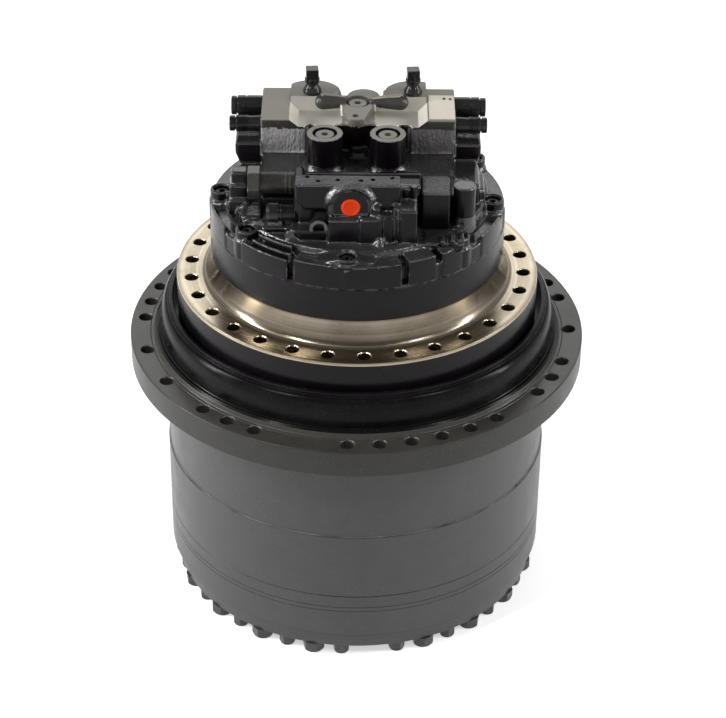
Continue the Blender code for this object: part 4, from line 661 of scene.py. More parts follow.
def hub_profile():
    lower = (Z_LOWER_RACE[0].z, Z_LOWER_RACE[1].z)
    upper = (Z_UPPER_RACE[0].z, Z_UPPER_RACE[1].z)
    web = HUB_BORE_RADIUS - 0.018
    corners = [
        (GEAR_ROOM_RADIUS, Z_HUB), (DRUM_RADIUS, Z_HUB, EDGE),
        (DRUM_RADIUS, Z_FLANGE, 0.004), (FLANGE_RADIUS, Z_FLANGE, EDGE),
        (FLANGE_RADIUS, Z_FLANGE_TOP, EDGE * 1.5),
        (SEAT_LINE_RADIUS + 0.0006, Z_FLANGE_TOP),
        (SEAT_LINE_RADIUS, Z_FLANGE_TOP - 0.0008), (SEAT_LINE_RADIUS - 0.0006, Z_FLANGE_TOP),
        (STEP_RADIUS + 0.003, Z_FLANGE_TOP, 0.002),
        (STEP_RADIUS + 0.001, Z_FLANGE_TOP + 0.006, 0.002),
        (SHOULDER_RADIUS + 0.004, Z_SHOULDER - 0.001, 0.001),
        (SHOULDER_RADIUS + 0.001, Z_SHOULDER - 0.0015, 0.0008),
        (SHOULDER_RADIUS, Z_SHOULDER)]
    steps = 16
    for step in range(1, steps + 1):
        turn = pi / 2 * step / steps
        corners.append((SHOULDER_RADIUS - (SHOULDER_RADIUS - LIP_RADIUS - 0.002) * (1 - cos(turn)),
                        Z_SHOULDER + (Z_DOME_TOP - Z_SHOULDER) * sin(turn)))
    corners += [
        (LIP_RADIUS + 0.0012, Z_DOME_TOP, 0.0005),
        (LIP_RADIUS + 0.0012, Z_DOME_TOP + 0.002, 0.0006),
        (LIP_RADIUS - 0.0008, Z_DOME_TOP + 0.0025, 0.0005),
        (LIP_RADIUS - 0.0008, Z_LIP_TOP, 0.0012),
        (LIP_INNER_RADIUS, Z_LIP_TOP, 0.001), (LIP_INNER_RADIUS, Z_LIP_TOP - 0.024),
        (SEAL_BORE_RADIUS, Z_LIP_TOP - 0.024), (SEAL_BORE_RADIUS, Z_SEAL - 0.0003),
        (HUB_BORE_RADIUS, Z_SEAL - 0.0003), (HUB_BORE_RADIUS, upper[0] - 0.0003),
        (web, upper[0] - 0.0003, 0.003), (web, lower[1] + 0.0003, 0.003),
        (HUB_BORE_RADIUS, lower[1] + 0.0003), (HUB_BORE_RADIUS, lower[0] - 0.0003),
        (GEAR_ROOM_RADIUS, lower[0] - 0.0003)]
    return rounded(corners)


def hub_zone(centre, normal):
    """Drum paint below the flange, flange paint on it, gloss black on the dome."""
    radius = centre.to_2d().length
    if radius > DRUM_RADIUS - 0.001 and centre.z < Z_FLANGE - 0.001 and radius < 0.280:
        return "drum"
    if centre.z > Z_SHOULDER - 0.004:
        return "dome"
    if radius > FLANGE_RADIUS - 0.0006:
        return "rim"
    return "flange" if radius > DRUM_RADIUS - 0.001 else "bright"


def make_hub():
    hub = as_object(spun(hub_profile()), "hub_casting")
    holes = []
    for index in range(-SPROCKET_GRID // 2 + 1, SPROCKET_GRID // 2 + 1):
        if index not in SPROCKET_SOLID_PLACES:
            turn = SPROCKET_GRID_START + FULL_TURN * index / SPROCKET_GRID
            holes.append(chamfered_hole(SPROCKET_HOLE_RADIUS, Z_FLANGE - OVERRUN, Z_FLANGE_TOP,
                                        polar(SPROCKET_HOLE_CIRCLE, turn)))
    carve(hub, together(holes))
    dressed(hub, "drum flange dome bright rim", "hub",
            ["hub"], hub_zone)


def ring_gear(name, node, low, high, details):
    """A ring gear: turned outside with its own details, toothed inside."""
    inner = RING_TIP_RADIUS - 0.004
    corners = [(inner, low), (RING_GEAR_RADIUS, low, EDGE), *details,
               (RING_GEAR_RADIUS, high, EDGE), (inner, high)]
    gear = as_object(spun(rounded(corners)), name)
    carve(gear, extruded([tooth_spaces()], low - OVERRUN, high + OVERRUN))
    zone = lambda centre, normal: "drum" if centre.to_2d().length > 0.240 else "gear"
    dressed(gear, "drum gear", "hub", [node], zone)


def groove(height, depth=0.0006, width=0.0012):
    """Outline corners of a shallow turned groove in the outside of a ring gear."""
    inner = RING_GEAR_RADIUS - depth
    return [(RING_GEAR_RADIUS, height - width / 2), (inner, height - width / 4),
            (inner, height + width / 4), (RING_GEAR_RADIUS, height + width / 2)]


def make_ring_gears():
    ring_gear("first_ring_gear_body", "first_ring_gear", Z_FIRST_RING, Z_SECOND_RING - 0.0003,
              [*groove(0.0850), *groove(0.0920)])
    ring_gear("second_ring_gear_body", "second_ring_gear", Z_SECOND_RING, Z_HUB, [])


COVER_BOLT_PAIRS = 20
COVER_BOLT_START = radians(5)
COVER_BOLT_CIRCLE = COVER_RADIUS - 0.016
WIDE_HEAD_RADIUS = 0.0158
NARROW_HEAD_RADIUS = 0.0115
POCKET_DEPTH = 0.010
COVER_RIM = 0.048
DRAIN_CIRCLE = 0.175
DRAIN_ANGLES = (radians(40), radians(220))
DRAIN_PLUG_RADIUS = 0.014


def bolt_head(radius, spot, turn):
    """A hexagon head, chamfered where a spanner starts, on a washer face."""
    head = extruded([ring(radius, 6, spot, turn)], 0, Z_COVER - 0.001)
    cone_low = radius * 0.86
    turned_corner = spun([(0, 0), (cone_low, 0), (radius, 0.0028), (radius, Z_COVER),
                          (0, Z_COVER)], HOLE_STEPS, spot)
    washer = spun(rounded([(0, Z_COVER - 0.0022), (radius * 0.95, Z_COVER - 0.0022, 0.0004),
                           (radius * 0.95, Z_COVER + 0.0004), (0, Z_COVER + 0.0004)]),
                  HOLE_STEPS, spot)
    return head, turned_corner, washer


def make_bolt_heads():
    for label, half, radius in (("wide", 0, WIDE_HEAD_RADIUS), ("narrow", 1, NARROW_HEAD_RADIUS)):
        heads, corners, washers = [], [], []
        for pair in range(COVER_BOLT_PAIRS):
            turn = COVER_BOLT_START + FULL_TURN * (pair + half / 2) / COVER_BOLT_PAIRS
            head, corner, washer = bolt_head(radius, polar(COVER_BOLT_CIRCLE, turn), pair * 0.7)
            heads.append(head)
            corners.append(corner)
            washers.append(washer)
        bolts = as_object(together(heads), "cover_bolt_heads_" + label)
        carve(bolts, together(corners), "INTERSECT")
        carve(bolts, together(washers), "UNION")
        dressed(bolts, "drum", "hub")


def make_end_cover():
    rim = COVER_RADIUS - COVER_RIM
    land = (0.106, 0.146)
    land_top = top("end_cover")
    inner_top = Z_FIRST_RING - 0.0003
    corners = [
        (0, Z_COVER + POCKET_DEPTH), (rim - 0.01, Z_COVER + POCKET_DEPTH, 0.004),
        (rim, Z_COVER, 0.002), (COVER_RADIUS - 0.004, Z_COVER, 0.0015),
        (COVER_RADIUS - 0.003, 0.0335, 0.001), (COVER_RADIUS, 0.0345, 0.0008),
        (COVER_RADIUS, inner_top, 0.0008), (land[1], inner_top), (land[1], land_top, 0.001),
        (land[0], land_top, 0.001), (land[0], inner_top), (0, inner_top)]
    cover = as_object(spun(rounded(corners)), "end_cover_plate")
    bosses = [post(DRAIN_PLUG_RADIUS + 0.006, Z_COVER + 0.003, Z_COVER + POCKET_DEPTH + OVERRUN,
                   polar(DRAIN_CIRCLE, turn)) for turn in DRAIN_ANGLES]
    carve(cover, together(bosses), "UNION")
    bores = [post(DRAIN_PLUG_RADIUS + 0.0003, Z_COVER - OVERRUN, Z_COVER + 0.013,
                  polar(DRAIN_CIRCLE, turn)) for turn in DRAIN_ANGLES]
    carve(cover, together(bores))
    dressed(cover, "drum", "hub", ["end_cover"])
    for node, turn in zip(("drain_plug", "level_plug"), DRAIN_ANGLES):
        low, high = bottom(node), top(node)
        plug = as_object(spun(rounded([
            (0, low + 0.005), (0.007, low + 0.005), (0.007, low, 0.0006),
            (DRAIN_PLUG_RADIUS, low, 0.0012), (DRAIN_PLUG_RADIUS, high, 0.0008), (0, high)]),
            6 * 8, polar(DRAIN_CIRCLE, turn)), node + "_screw")
        dressed(plug, "bright", "hub", [node])


def make_sealant():
    """The bead of sealant that was squeezed out of the joint over the second ring gear."""
    bm = spun([(DRUM_RADIUS - 0.003, Z_HUB - 0.0014), (DRUM_RADIUS + 0.0006, Z_HUB - 0.0012),
               (DRUM_RADIUS + 0.0010, Z_HUB), (DRUM_RADIUS + 0.0004, Z_HUB + 0.0014),
               (DRUM_RADIUS - 0.003, Z_HUB + 0.0014)], 3 * TURN_STEPS)
    for index, vert in enumerate(bm.verts):
        if Vector((vert.co.x, vert.co.y)).length > DRUM_RADIUS:
            lump = 1 + 0.0000028 * ((index * 7919) % 613 - 306)
            vert.co.x *= lump
            vert.co.y *= lump
    bmesh.ops.smooth_vert(bm, verts=bm.verts, factor=0.3, use_axis_x=True, use_axis_y=True,
                          use_axis_z=True)
    bead = as_object(bm, "joint_sealant_bead")
    dressed(bead, "sealant", "hub", angle=60)


# Motor housing
FRAME_HOLE_COUNT = 30
FRAME_HOLE_START = radians(2.6)
FRAME_HOLE_CIRCLE = FRAME_FLANGE_RADIUS - 0.020
FRAME_HOLE_RADIUS = 0.0088
FRAME_HOLE_DEPTH = 0.030
SPINDLE_RADIUS = 0.174
FILLET_REACH = 0.012


def housing_profile():
    steps = 10
    curve = []
    for step in range(1, steps + 1):
        turn = pi / 2 * step / steps
        curve.append((HOUSING_RADIUS + FILLET_REACH * (1 - sin(turn)),
                      Z_FRAME_TOP + (Z_FILLET_TOP - Z_FRAME_TOP) * (1 - cos(turn))))
    lower_race, upper_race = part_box("lower_bearing_inner_race"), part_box("upper_bearing_inner_race")
    return rounded([
        (0.1033, Z_HUB - 0.0003), (SPINDLE_RADIUS - 0.007, Z_HUB - 0.0003, 0.001),
        (SPINDLE_RADIUS - 0.007, lower_race[0].z - 0.0003),
        (SPINDLE_RADIUS, lower_race[0].z - 0.0003, 0.001),
        (SPINDLE_RADIUS, upper_race[1].z + 0.0003, 0.002),
        (SPINDLE_RADIUS + 0.010, upper_race[1].z + 0.0003, 0.001),
        (SPINDLE_RADIUS + 0.010, Z_FRAME - 0.031, 0.002),
        (SEAL_BORE_RADIUS - 0.004, Z_FRAME - 0.031),
        (SEAL_BORE_RADIUS - 0.004, Z_FRAME - 0.020, 0.001),
        (FRAME_FLANGE_RADIUS, Z_FRAME - 0.020, 0.001),
        (FRAME_FLANGE_RADIUS, Z_FRAME_TOP - 0.0035),
        (FRAME_FLANGE_RADIUS - 0.0012, Z_FRAME_TOP, 0.0006),
        (HOUSING_RADIUS + FILLET_REACH + 0.0012, Z_FRAME_TOP),
        (HOUSING_RADIUS + FILLET_REACH + 0.0006, Z_FRAME_TOP - 0.0004),
        (HOUSING_RADIUS + FILLET_REACH, Z_FRAME_TOP), *curve,
        (HOUSING_RADIUS, Z_JOINT, 0.0012), (0.128, Z_JOINT, 0.001), (0.128, 0.4695),
        (0.113, 0.4695), (0.113, 0.2915), (0.050, 0.2915), (0.050, 0.2652),
        (0.040, 0.2652), (0.040, 0.2465), (0.1033, 0.2465)])


def housing_zone(centre, normal):
    """Machined top and fillet of the frame flange, and black paint elsewhere."""
    radius = centre.to_2d().length
    if radius < HOUSING_RADIUS - 0.001 or centre.z < Z_FRAME - 0.021:
        return "bright"
    # Painted shade: the turned fillet takes the darker copy of the machined steel.
    if Z_FRAME_TOP + 0.0015 < centre.z < Z_FILLET_TOP:
        return "fillet"
    if Z_FRAME_TOP - 0.003 < centre.z < Z_FILLET_TOP:
        return "machined"
    if centre.z < Z_FRAME_TOP and radius < FRAME_FLANGE_RADIUS - 0.003 and centre.z > Z_FRAME:
        return "machined"
    return "smooth"


def make_motor_housing():
    housing = as_object(spun(housing_profile()), "motor_housing_casting")
    holes = []
    for index in range(FRAME_HOLE_COUNT):
        spot = polar(FRAME_HOLE_CIRCLE, FRAME_HOLE_START + FULL_TURN * index / FRAME_HOLE_COUNT)
        holes.append(chamfered_hole(FRAME_HOLE_RADIUS, Z_FRAME_TOP - FRAME_HOLE_DEPTH,
                                    Z_FRAME_TOP, spot))
    carve(housing, together(holes))
    dressed(housing, "machined smooth bright fillet", "motor", ["motor_housing"],
            housing_zone)


# Rear cover casting
GRID = 0.0018
CAST_ROUNDS = 3
KEPT_SHARE = 0.72
MM = 1000
SKIN = 0.0012
UNDERSIDE = 0.004
CAST_LOW = Z_DECK - 0.010
SIDE_BLOCK_X = (0.094, 0.133)
SIDE_BLOCK_Y = (0.024, 0.121)
BODY_X = 0.098
WEB_Y = (0.031, 0.108)
PORT_SHELF_Y = 0.060
FAIRING_Y = (0.072, 0.102)
PORT_BOSSES = ((-0.045, -0.013), (0.040, -0.013))
PORT_BOSS_RADIUS = 0.0245
CENTRE_BOSS = (-0.001, 0.080)
CENTRE_BOSS_RADIUS = 0.0245
CENTRE_LOBE = (-0.003, 0.040)
CENTRE_LOBE_RADIUS = 0.0145
LOBE_HOLE = (-0.004, 0.038)
MAIN_PORTS = ((-0.064, 0.085), (0.075, 0.085))
MAIN_PORT_RADIUS = 0.041
REAR_PORT = (0.007, 0.104)
REAR_PORT_RADIUS = 0.023
Z_REAR_PORT = Z_DECK + 0.085
SPOOL_Y = -0.080
SPOOL_Z = Z_DECK + 0.048
FRONT_X = (-0.082, 0.056)
FRONT_Y = (-0.142, -0.112)
FRONT_Z = (Z_DECK + 0.042, Z_DECK + 0.080)
PILOT_PORT_X = -0.009
PILOT_PORT_Z = Z_DECK + 0.050
PILOT_FACE_Y = -0.150
FOOT_Y = -0.160
# Gaps between the blocks under the pilot port, as rows for blocks()
FRONT_GAPS = (
    (1.8, 3.2, -164, -152, 2, 60, 0), (32.4, 33.8, -164, -152, 4, 60, 0),
    (53.8, 55.2, -164, -152, -2, 60, 0), (47, 47.8, -164, -150, 4, 52, 0),
    (-39.4, -38.4, -164, -140, 2, 40, 0), (-40, 60, -164, -145.2, 38, 39.2, 0))
LUG_ANGLES = tuple(radians(angle) for angle in (-88, -52, -4, 46, 81, 119, 157, 195, 233))
LUG_CIRCLE = HOUSING_RADIUS - 0.017
LUG_RADIUS = 0.016
LUG_BORE_RADIUS = 0.0105
LUG_BORE_DEPTH = 0.012
RIM_NOTCH_ANGLES = (radians(-25.6), radians(18.2))
# Inner and outer radius (none: the housing's) and height over the deck in mm, and two angles
RIM_ARCS = (
    (176, None, -9, -24.5, 17.2), (176, None, -6, 19.4, 31.0), (186, None, -7, 33.6, 43.0),
    (199.5, None, -12, -49, -27.0), (191.5, 195.5, -6, -46, -26.8), (183.5, 187.5, 1, -44, -27.4),
    (198.5, None, -10, 128, 148), (198.5, None, -10, 166, 186), (198.5, None, -10, 204, 224),
    (198.5, None, -10, 55, 72), (198.5, None, -10, -80, -61))


def hull(points, soft=0.0):
    """The tightest solid around some points, with its edges rounded."""
    bm = bmesh.new()
    for point in points:
        bm.verts.new(point)
    done = bmesh.ops.convex_hull(bm, input=bm.verts)
    inside = [item for item in done["geom_interior"] if isinstance(item, bmesh.types.BMVert)]
    bmesh.ops.delete(bm, geom=inside, context="VERTS")
    bmesh.ops.dissolve_limit(bm, angle_limit=radians(1), verts=bm.verts, edges=bm.edges)
    return softened(bm, soft)


def hull_of(shapes):
    """The tightest solid around some shapes."""
    bm = together(shapes)
    points = [vert.co.copy() for vert in bm.verts]
    bm.free()
    return hull(points)


def wedge(x, y, low, high, soft=0.0):
    """A block whose lower and upper rectangles differ: each is ((x0, x1), (y0, y1))."""
    points = [(px, py, low) for px in x[0] for py in y[0]]
    points += [(px, py, high) for px in x[1] for py in y[1]]
    return hull(points, soft)


def arc(inner, outer, low, high, start, end, steps=24):
    """A rib that follows the rim from one angle to another, in degrees."""
    turns = [radians(start + (end - start) * i / steps) for i in range(steps + 1)]
    outline = [polar(outer, turn) for turn in turns]
    outline += [polar(inner, turn) for turn in reversed(turns)]
    return extruded([outline], low, high)


def mirrored(span, side):
    return tuple(sorted(side * value for value in span))


def blocks(*rows):
    """Blocks from rows in mm: two x, two y, two heights over the deck, then the edge radius."""
    shapes = []
    for row in rows:
        x0, x1, y0, y1, low, high, soft = (value / MM for value in row)
        shapes.append(slab((x0, x1), (y0, y1), (Z_DECK + low, Z_DECK + high), soft))
    return shapes


def cover_base():
    """The round foot of the casting with its stepped rim, ribs, pads and bolt lugs."""
    step = HOUSING_RADIUS - 0.022
    under = Z_REAR_COVER - UNDERSIDE
    shelf = Z_DECK - 0.020
    shapes = [
        spun(rounded([(0, under), (HOUSING_RADIUS - 0.0012, under),
                      (HOUSING_RADIUS - 0.0012, shelf, 0.002), (step, shelf + 0.002, 0.003),
                      (step - 0.003, Z_DECK, 0.003), (0, Z_DECK)]))]
    shapes += [arc(inner / MM, outer / MM if outer else HOUSING_RADIUS, under,
                   Z_DECK + high / MM, start, end)
               for inner, outer, high, start, end in RIM_ARCS]
    for turn in LUG_ANGLES:
        spot = polar(LUG_CIRCLE, turn)
        shapes.append(post(LUG_RADIUS, under, Z_DECK - 0.001, spot, steps=40))
        shapes.append(hull_of([post(LUG_RADIUS + 0.002, under, shelf + 0.004, spot),
                               post(LUG_RADIUS - 0.002, under, Z_DECK - 0.010,
                                    polar(LUG_CIRCLE - 0.016, turn))]))
    shapes.append(hull_of([post(0.020, under, Z_DECK - 0.003, polar(0.180, radians(-5))),
                           post(0.012, under, Z_DECK - 0.008, polar(0.186, radians(-14))),
                           post(0.012, under, Z_DECK - 0.006, polar(0.186, radians(4)))]))
    return shapes


def cover_body():
    """Floor, web, side blocks and the bulging valve housings."""
    shapes = [
        slab((-BODY_X, BODY_X), (0.004, 0.118), (CAST_LOW, Z_FLOOR), 0.003),
        slab((-0.131, 0.131), (-0.040, 0.030), (CAST_LOW, Z_FLOOR), 0.003),
        slab((-BODY_X, BODY_X), (WEB_Y[0], 0.118), (CAST_LOW, Z_WEB + SKIN), 0.001)]
    for side in (-1, 1):
        x0, x1 = SIDE_BLOCK_X
        high = Z_TOP + SKIN
        points = [(x, y, z) for y in SIDE_BLOCK_Y
                  for x, z in ((side * (x0 - 0.022), CAST_LOW), (side * x1, CAST_LOW),
                               (side * x1, high), (side * (x0 - 0.002), high),
                               (side * (x0 - 0.012), high), (side * (x0 - 0.022), Z_WEB))]
        shapes.append(hull(points, 0.0012))
        shapes.append(slab(mirrored((0.034, 0.100), side), (PORT_SHELF_Y, 0.118),
                           (CAST_LOW, Z_TOP - 0.001 + SKIN), 0.001))
        housing_top = Z_DECK + 0.056
        shapes.append(wedge((mirrored((0.1315, 0.168), side), mirrored((0.1315, 0.168), side)),
                            ((0.018, 0.116), (0.018, 0.116)), Z_DECK + 0.036, housing_top, 0.003))
        shapes.append(wedge((mirrored((0.1315, 0.160), side), mirrored((0.1315, 0.168), side)),
                            ((0.021, 0.113), (0.018, 0.116)), Z_DECK + 0.014, Z_DECK + 0.040,
                            0.003))
        shapes.append(wedge((mirrored((0.1315, 0.156), side), mirrored((0.1315, 0.161), side)),
                            ((0.026, 0.108), (0.022, 0.112)), CAST_LOW, Z_DECK + 0.018, 0.004))
        shapes.append(slab(mirrored((0.134, 0.163), side), (0.060, 0.074),
                           (Z_DECK + 0.030, housing_top + 0.002), 0.002))
    return shapes


def port_face(spot, skin=0.0):
    """A main port: flat behind, where its fitting stands, and faired down in front."""
    front = Z_TOP - 0.0005
    points = []
    for x, y in ring(MAIN_PORT_RADIUS, 72, spot):
        share = (y - FAIRING_Y[0]) / (FAIRING_Y[1] - FAIRING_Y[0])
        points.append((x, y, Z_WEB - 0.020))
        points.append((x, y, front + skin + (Z_PORT - front) * min(max(share, 0), 1)))
    return hull(points)


def horn_ends(side):
    """Centres of the wide and the narrow end of a cast passage."""
    return (Vector((0.0045 + side * 0.0535, 0.084, Z_TOP - 0.0030)),
            Vector((0.0045 + side * 0.0150, 0.0805, Z_TOP - 0.0005)))


def on_horn(point):
    """Whether a point lies on the skin of one of the two cast passages."""
    for side in (-1, 1):
        near, far = horn_ends(side)
        axis = far - near
        share = min(max((point - near).dot(axis) / axis.length_squared, 0), 1)
        gap = (point - near - axis * share).length - (0.0125 - 0.0067 * share)
        if abs(gap) < 0.0013:
            return True
    return False


def horn(side):
    """The cast passage that leads from a main port to the centre boss."""
    near, far = horn_ends(side)
    balls = []
    for point, radius in ((near, 0.0125), ((near + far) / 2, 0.0100), (far, 0.0058)):
        bm = bmesh.new()
        bmesh.ops.create_icosphere(bm, subdivisions=3, radius=radius,
                                   matrix=Matrix.Translation(point))
        balls.append(bm)
    return hull_of(balls)


def cover_bosses():
    shapes = []
    for spot in PORT_BOSSES:
        shapes.append(post(PORT_BOSS_RADIUS, CAST_LOW, Z_TOP + SKIN, spot, steps=48))
        shapes.append(post(PORT_BOSS_RADIUS + 0.006, Z_FLOOR - 0.004, Z_FLOOR + 0.010, spot,
                           PORT_BOSS_RADIUS - 0.001))
        reach_x = 0.026 if spot[0] < 0 else 0.024
        neck = (spot[1] + 0.010, WEB_Y[0] + 0.010)
        shapes.append(wedge(((spot[0] - reach_x - 0.006, spot[0] + reach_x + 0.004),
                             (spot[0] - 0.014, spot[0] + 0.014)),
                            (neck, neck), CAST_LOW, Z_WEB - 0.001, 0.003))
        shapes.append(slab((spot[0] - 0.013, spot[0] + 0.013), (spot[1], WEB_Y[0] + 0.004),
                           (CAST_LOW, Z_WEB + SKIN), 0.002))
    shapes.append(hull_of([post(CENTRE_BOSS_RADIUS, CAST_LOW, Z_TOP + SKIN, CENTRE_BOSS, steps=48),
                           post(CENTRE_LOBE_RADIUS, CAST_LOW, Z_TOP + SKIN, CENTRE_LOBE)]))
    for spot in MAIN_PORTS:
        shapes.append(post(MAIN_PORT_RADIUS, CAST_LOW, Z_WEB, spot, steps=72))
        shapes.append(port_face(spot, SKIN))
    shapes.append(post(REAR_PORT_RADIUS, CAST_LOW, Z_REAR_PORT, REAR_PORT, steps=48))
    shapes.append(post(REAR_PORT_RADIUS - 0.007, CAST_LOW, Z_REAR_PORT + 0.0016, REAR_PORT))
    shapes += [horn(-1), horn(1)]
    shapes.append(slab((-0.010, 0.012), (0.010, 0.036), (CAST_LOW, Z_FLOOR + 0.006), 0.003))
    return shapes


def cover_front():
    """The pilot valve body on the front: stepped blocks about the pilot port."""
    x0, x1 = FRONT_X
    y0, y1 = FRONT_Y
    z0, z1 = FRONT_Z
    body = [(x, y, z) for y in (y0, y1 - 0.003)
            for x, z in ((x0, z1), (x1, z1), (x1, z0), (x0 + 0.013, z0), (x0, z0 + 0.013))]
    shapes = [
        along_x(post(0.0152, -0.084, 0.084, steps=48), 0, SPOOL_Y, SPOOL_Z),
        slab((-0.084, 0.084), (SPOOL_Y - 0.0145, SPOOL_Y + 0.0145), (CAST_LOW, SPOOL_Z), 0.003),
        hull(body, 0.0022),
        *blocks((-78, 54, -134, -85, -10, 62, 3), (-83.5, -72, -130, -66, 20, 66, 2),
                (50, 83.5, -112, -64, -10, 61, 3))]
    lumps = ((-0.074, 0.006), (-0.061, 0.0045), (-0.047, 0.007), (-0.032, 0.005), (-0.020, 0.006),
             (0.014, 0.005), (0.028, 0.006), (0.043, 0.0055))
    for index, (x, size) in enumerate(lumps):
        rise = 0.0012 if index % 2 else 0.0022
        shapes.append(slab((x - size, x + size), (y0 + 0.006, y1 - 0.003),
                           (z1 - 0.010, z1 + rise - 0.0030), 0.0015, 0.10 * (index % 3 - 1)))
    shapes += [
        post(0.0075, z0, z1 - 0.0005, (-0.066, -0.121)),
        post(0.0065, z0, z1 - 0.0005, (0.045, -0.123)),
        post(0.0055, Z_DECK + 0.040, Z_DECK + 0.067, (0.062, -0.123)),
        post(0.0048, Z_DECK + 0.040, Z_DECK + 0.070, (0.074, -0.125))]
    shapes.append(along_y(post(0.0300, 0, 0.020, steps=64), PILOT_PORT_X, PILOT_FACE_Y,
                          PILOT_PORT_Z))
    shapes.append(along_y(post(0.0330, 0, 0.012, steps=64), PILOT_PORT_X, PILOT_FACE_Y + 0.0045,
                          PILOT_PORT_Z))
    return shapes + cover_feet()


def cover_feet():
    """The row of small blocks and knobs under the pilot port."""
    return [
        *blocks((-38.5, 1.5, -159, -100, -10, 36, 2), (3.5, 26.5, -160, -100, -10, 38, 2),
                (26.5, 32.5, -160.5, -110, -10, 41, 2), (20, 30, -156, -130, 30, 52, 3),
                (34, 46.5, -157, -100, -10, 40, 2), (47, 54, -154, -110, -10, 46, 2),
                (55, 78.5, -159, -100, -10, 50, 2), (-122, -98, -130, -100, -10, 4, 3),
                (-126, -92, -134, -98, -10, -4, 3)),
        hull_of([post(0.0030, Z_DECK + 0.004, Z_DECK + 0.010, (0.0295, FOOT_Y + 0.002)),
                 post(0.0090, CAST_LOW, Z_DECK - 0.002, (0.0295, FOOT_Y - 0.004))]),
        along_y(post(0.0040, 0, 0.030), 0.0500, FOOT_Y + 0.006, Z_DECK + 0.048),
        wedge(((-0.094, -0.036), (-0.094, -0.036)), ((-0.152, -0.110), (-0.146, -0.110)),
              CAST_LOW, Z_DECK + 0.012, 0.003),
        hull([(x, y, z) for y in (-0.153, -0.120)
              for x, z in ((-0.088, Z_DECK + 0.016), (-0.036, Z_DECK + 0.016),
                           (-0.037, Z_DECK + 0.006), (-0.066, Z_DECK - 0.006))], 0.0016),
        along_x(post(0.0035, 0, 0.030), -0.126, -0.130, Z_DECK + 0.007)]


def cover_flanks():
    """Decks, column and knobs to either side of the pilot valve body."""
    column = (0.142, -0.096)
    knobs = [along_y(post(0.0042, 0, 0.020), x, y, Z_DECK + 0.004)
             for x, y in ((0.112, -0.163), (0.125, -0.160), (0.137, -0.156))]
    return [
        post(0.0150, CAST_LOW, Z_DECK + 0.056, column, steps=40),
        post(0.0195, CAST_LOW, Z_DECK + 0.014, column, 0.015, steps=40),
        *blocks((120, 165, -50, 20, -10, 30, 6), (122, 150, -92, -30, -10, 34, 6),
                (150, 172, -40, 10, -10, 18, 5), (-165, -120, -40, 20, -10, 24, 6),
                (-170, -148.5, -60, -40, -10, 52, 2), (-172, -148, -64.5, -30, -10, 34, 2),
                (-174, -146, -69, 0, -10, 14, 3), (-156, -128, -98, -40, -10, 6, 4),
                (84.5, 122, -116, -70, -10, -0.5, 2), (88, 140, -158, -120, -10, 2, 2)),
        hull_of([post(0.012, CAST_LOW, Z_DECK + 0.002, (-0.150, -0.072)),
                 post(0.008, CAST_LOW, Z_DECK + 0.001, (-0.132, -0.108))]),
        *knobs, along_y(post(0.0040, 0, 0.016), 0.152, -0.062, Z_DECK + 0.012)]


def cover_back():
    """What the photograph hides: stiffening ribs and a plugged boss on the far side."""
    shapes = []
    for x in (-0.078, -0.028, 0.030, 0.080):
        shapes.append(wedge(((x - 0.006, x + 0.006), (x - 0.004, x + 0.004)),
                            ((0.110, 0.160), (0.110, 0.120)), CAST_LOW, Z_DECK + 0.060, 0.002))
    shapes.append(along_y(post(0.017, 0, 0.030), 0.001, 0.104, Z_DECK + 0.040))
    return shapes


def make_rear_cover():
    cover = as_object(together(cover_base() + cover_body() + cover_bosses() + cover_front()
                               + cover_flanks() + cover_back()), "rear_cover_casting")
    cast(cover, GRID, CAST_ROUNDS)
    thinned(cover, KEPT_SHARE)
    cut_rear_cover(cover)
    dressed(cover, "gloss top rough smooth deck grit coarse recess flange bevel", "motor",
            ["rear_cover"], cover_zone, 38)


def mill(cover, shapes):
    carve(cover, together(shapes), solver="MANIFOLD")


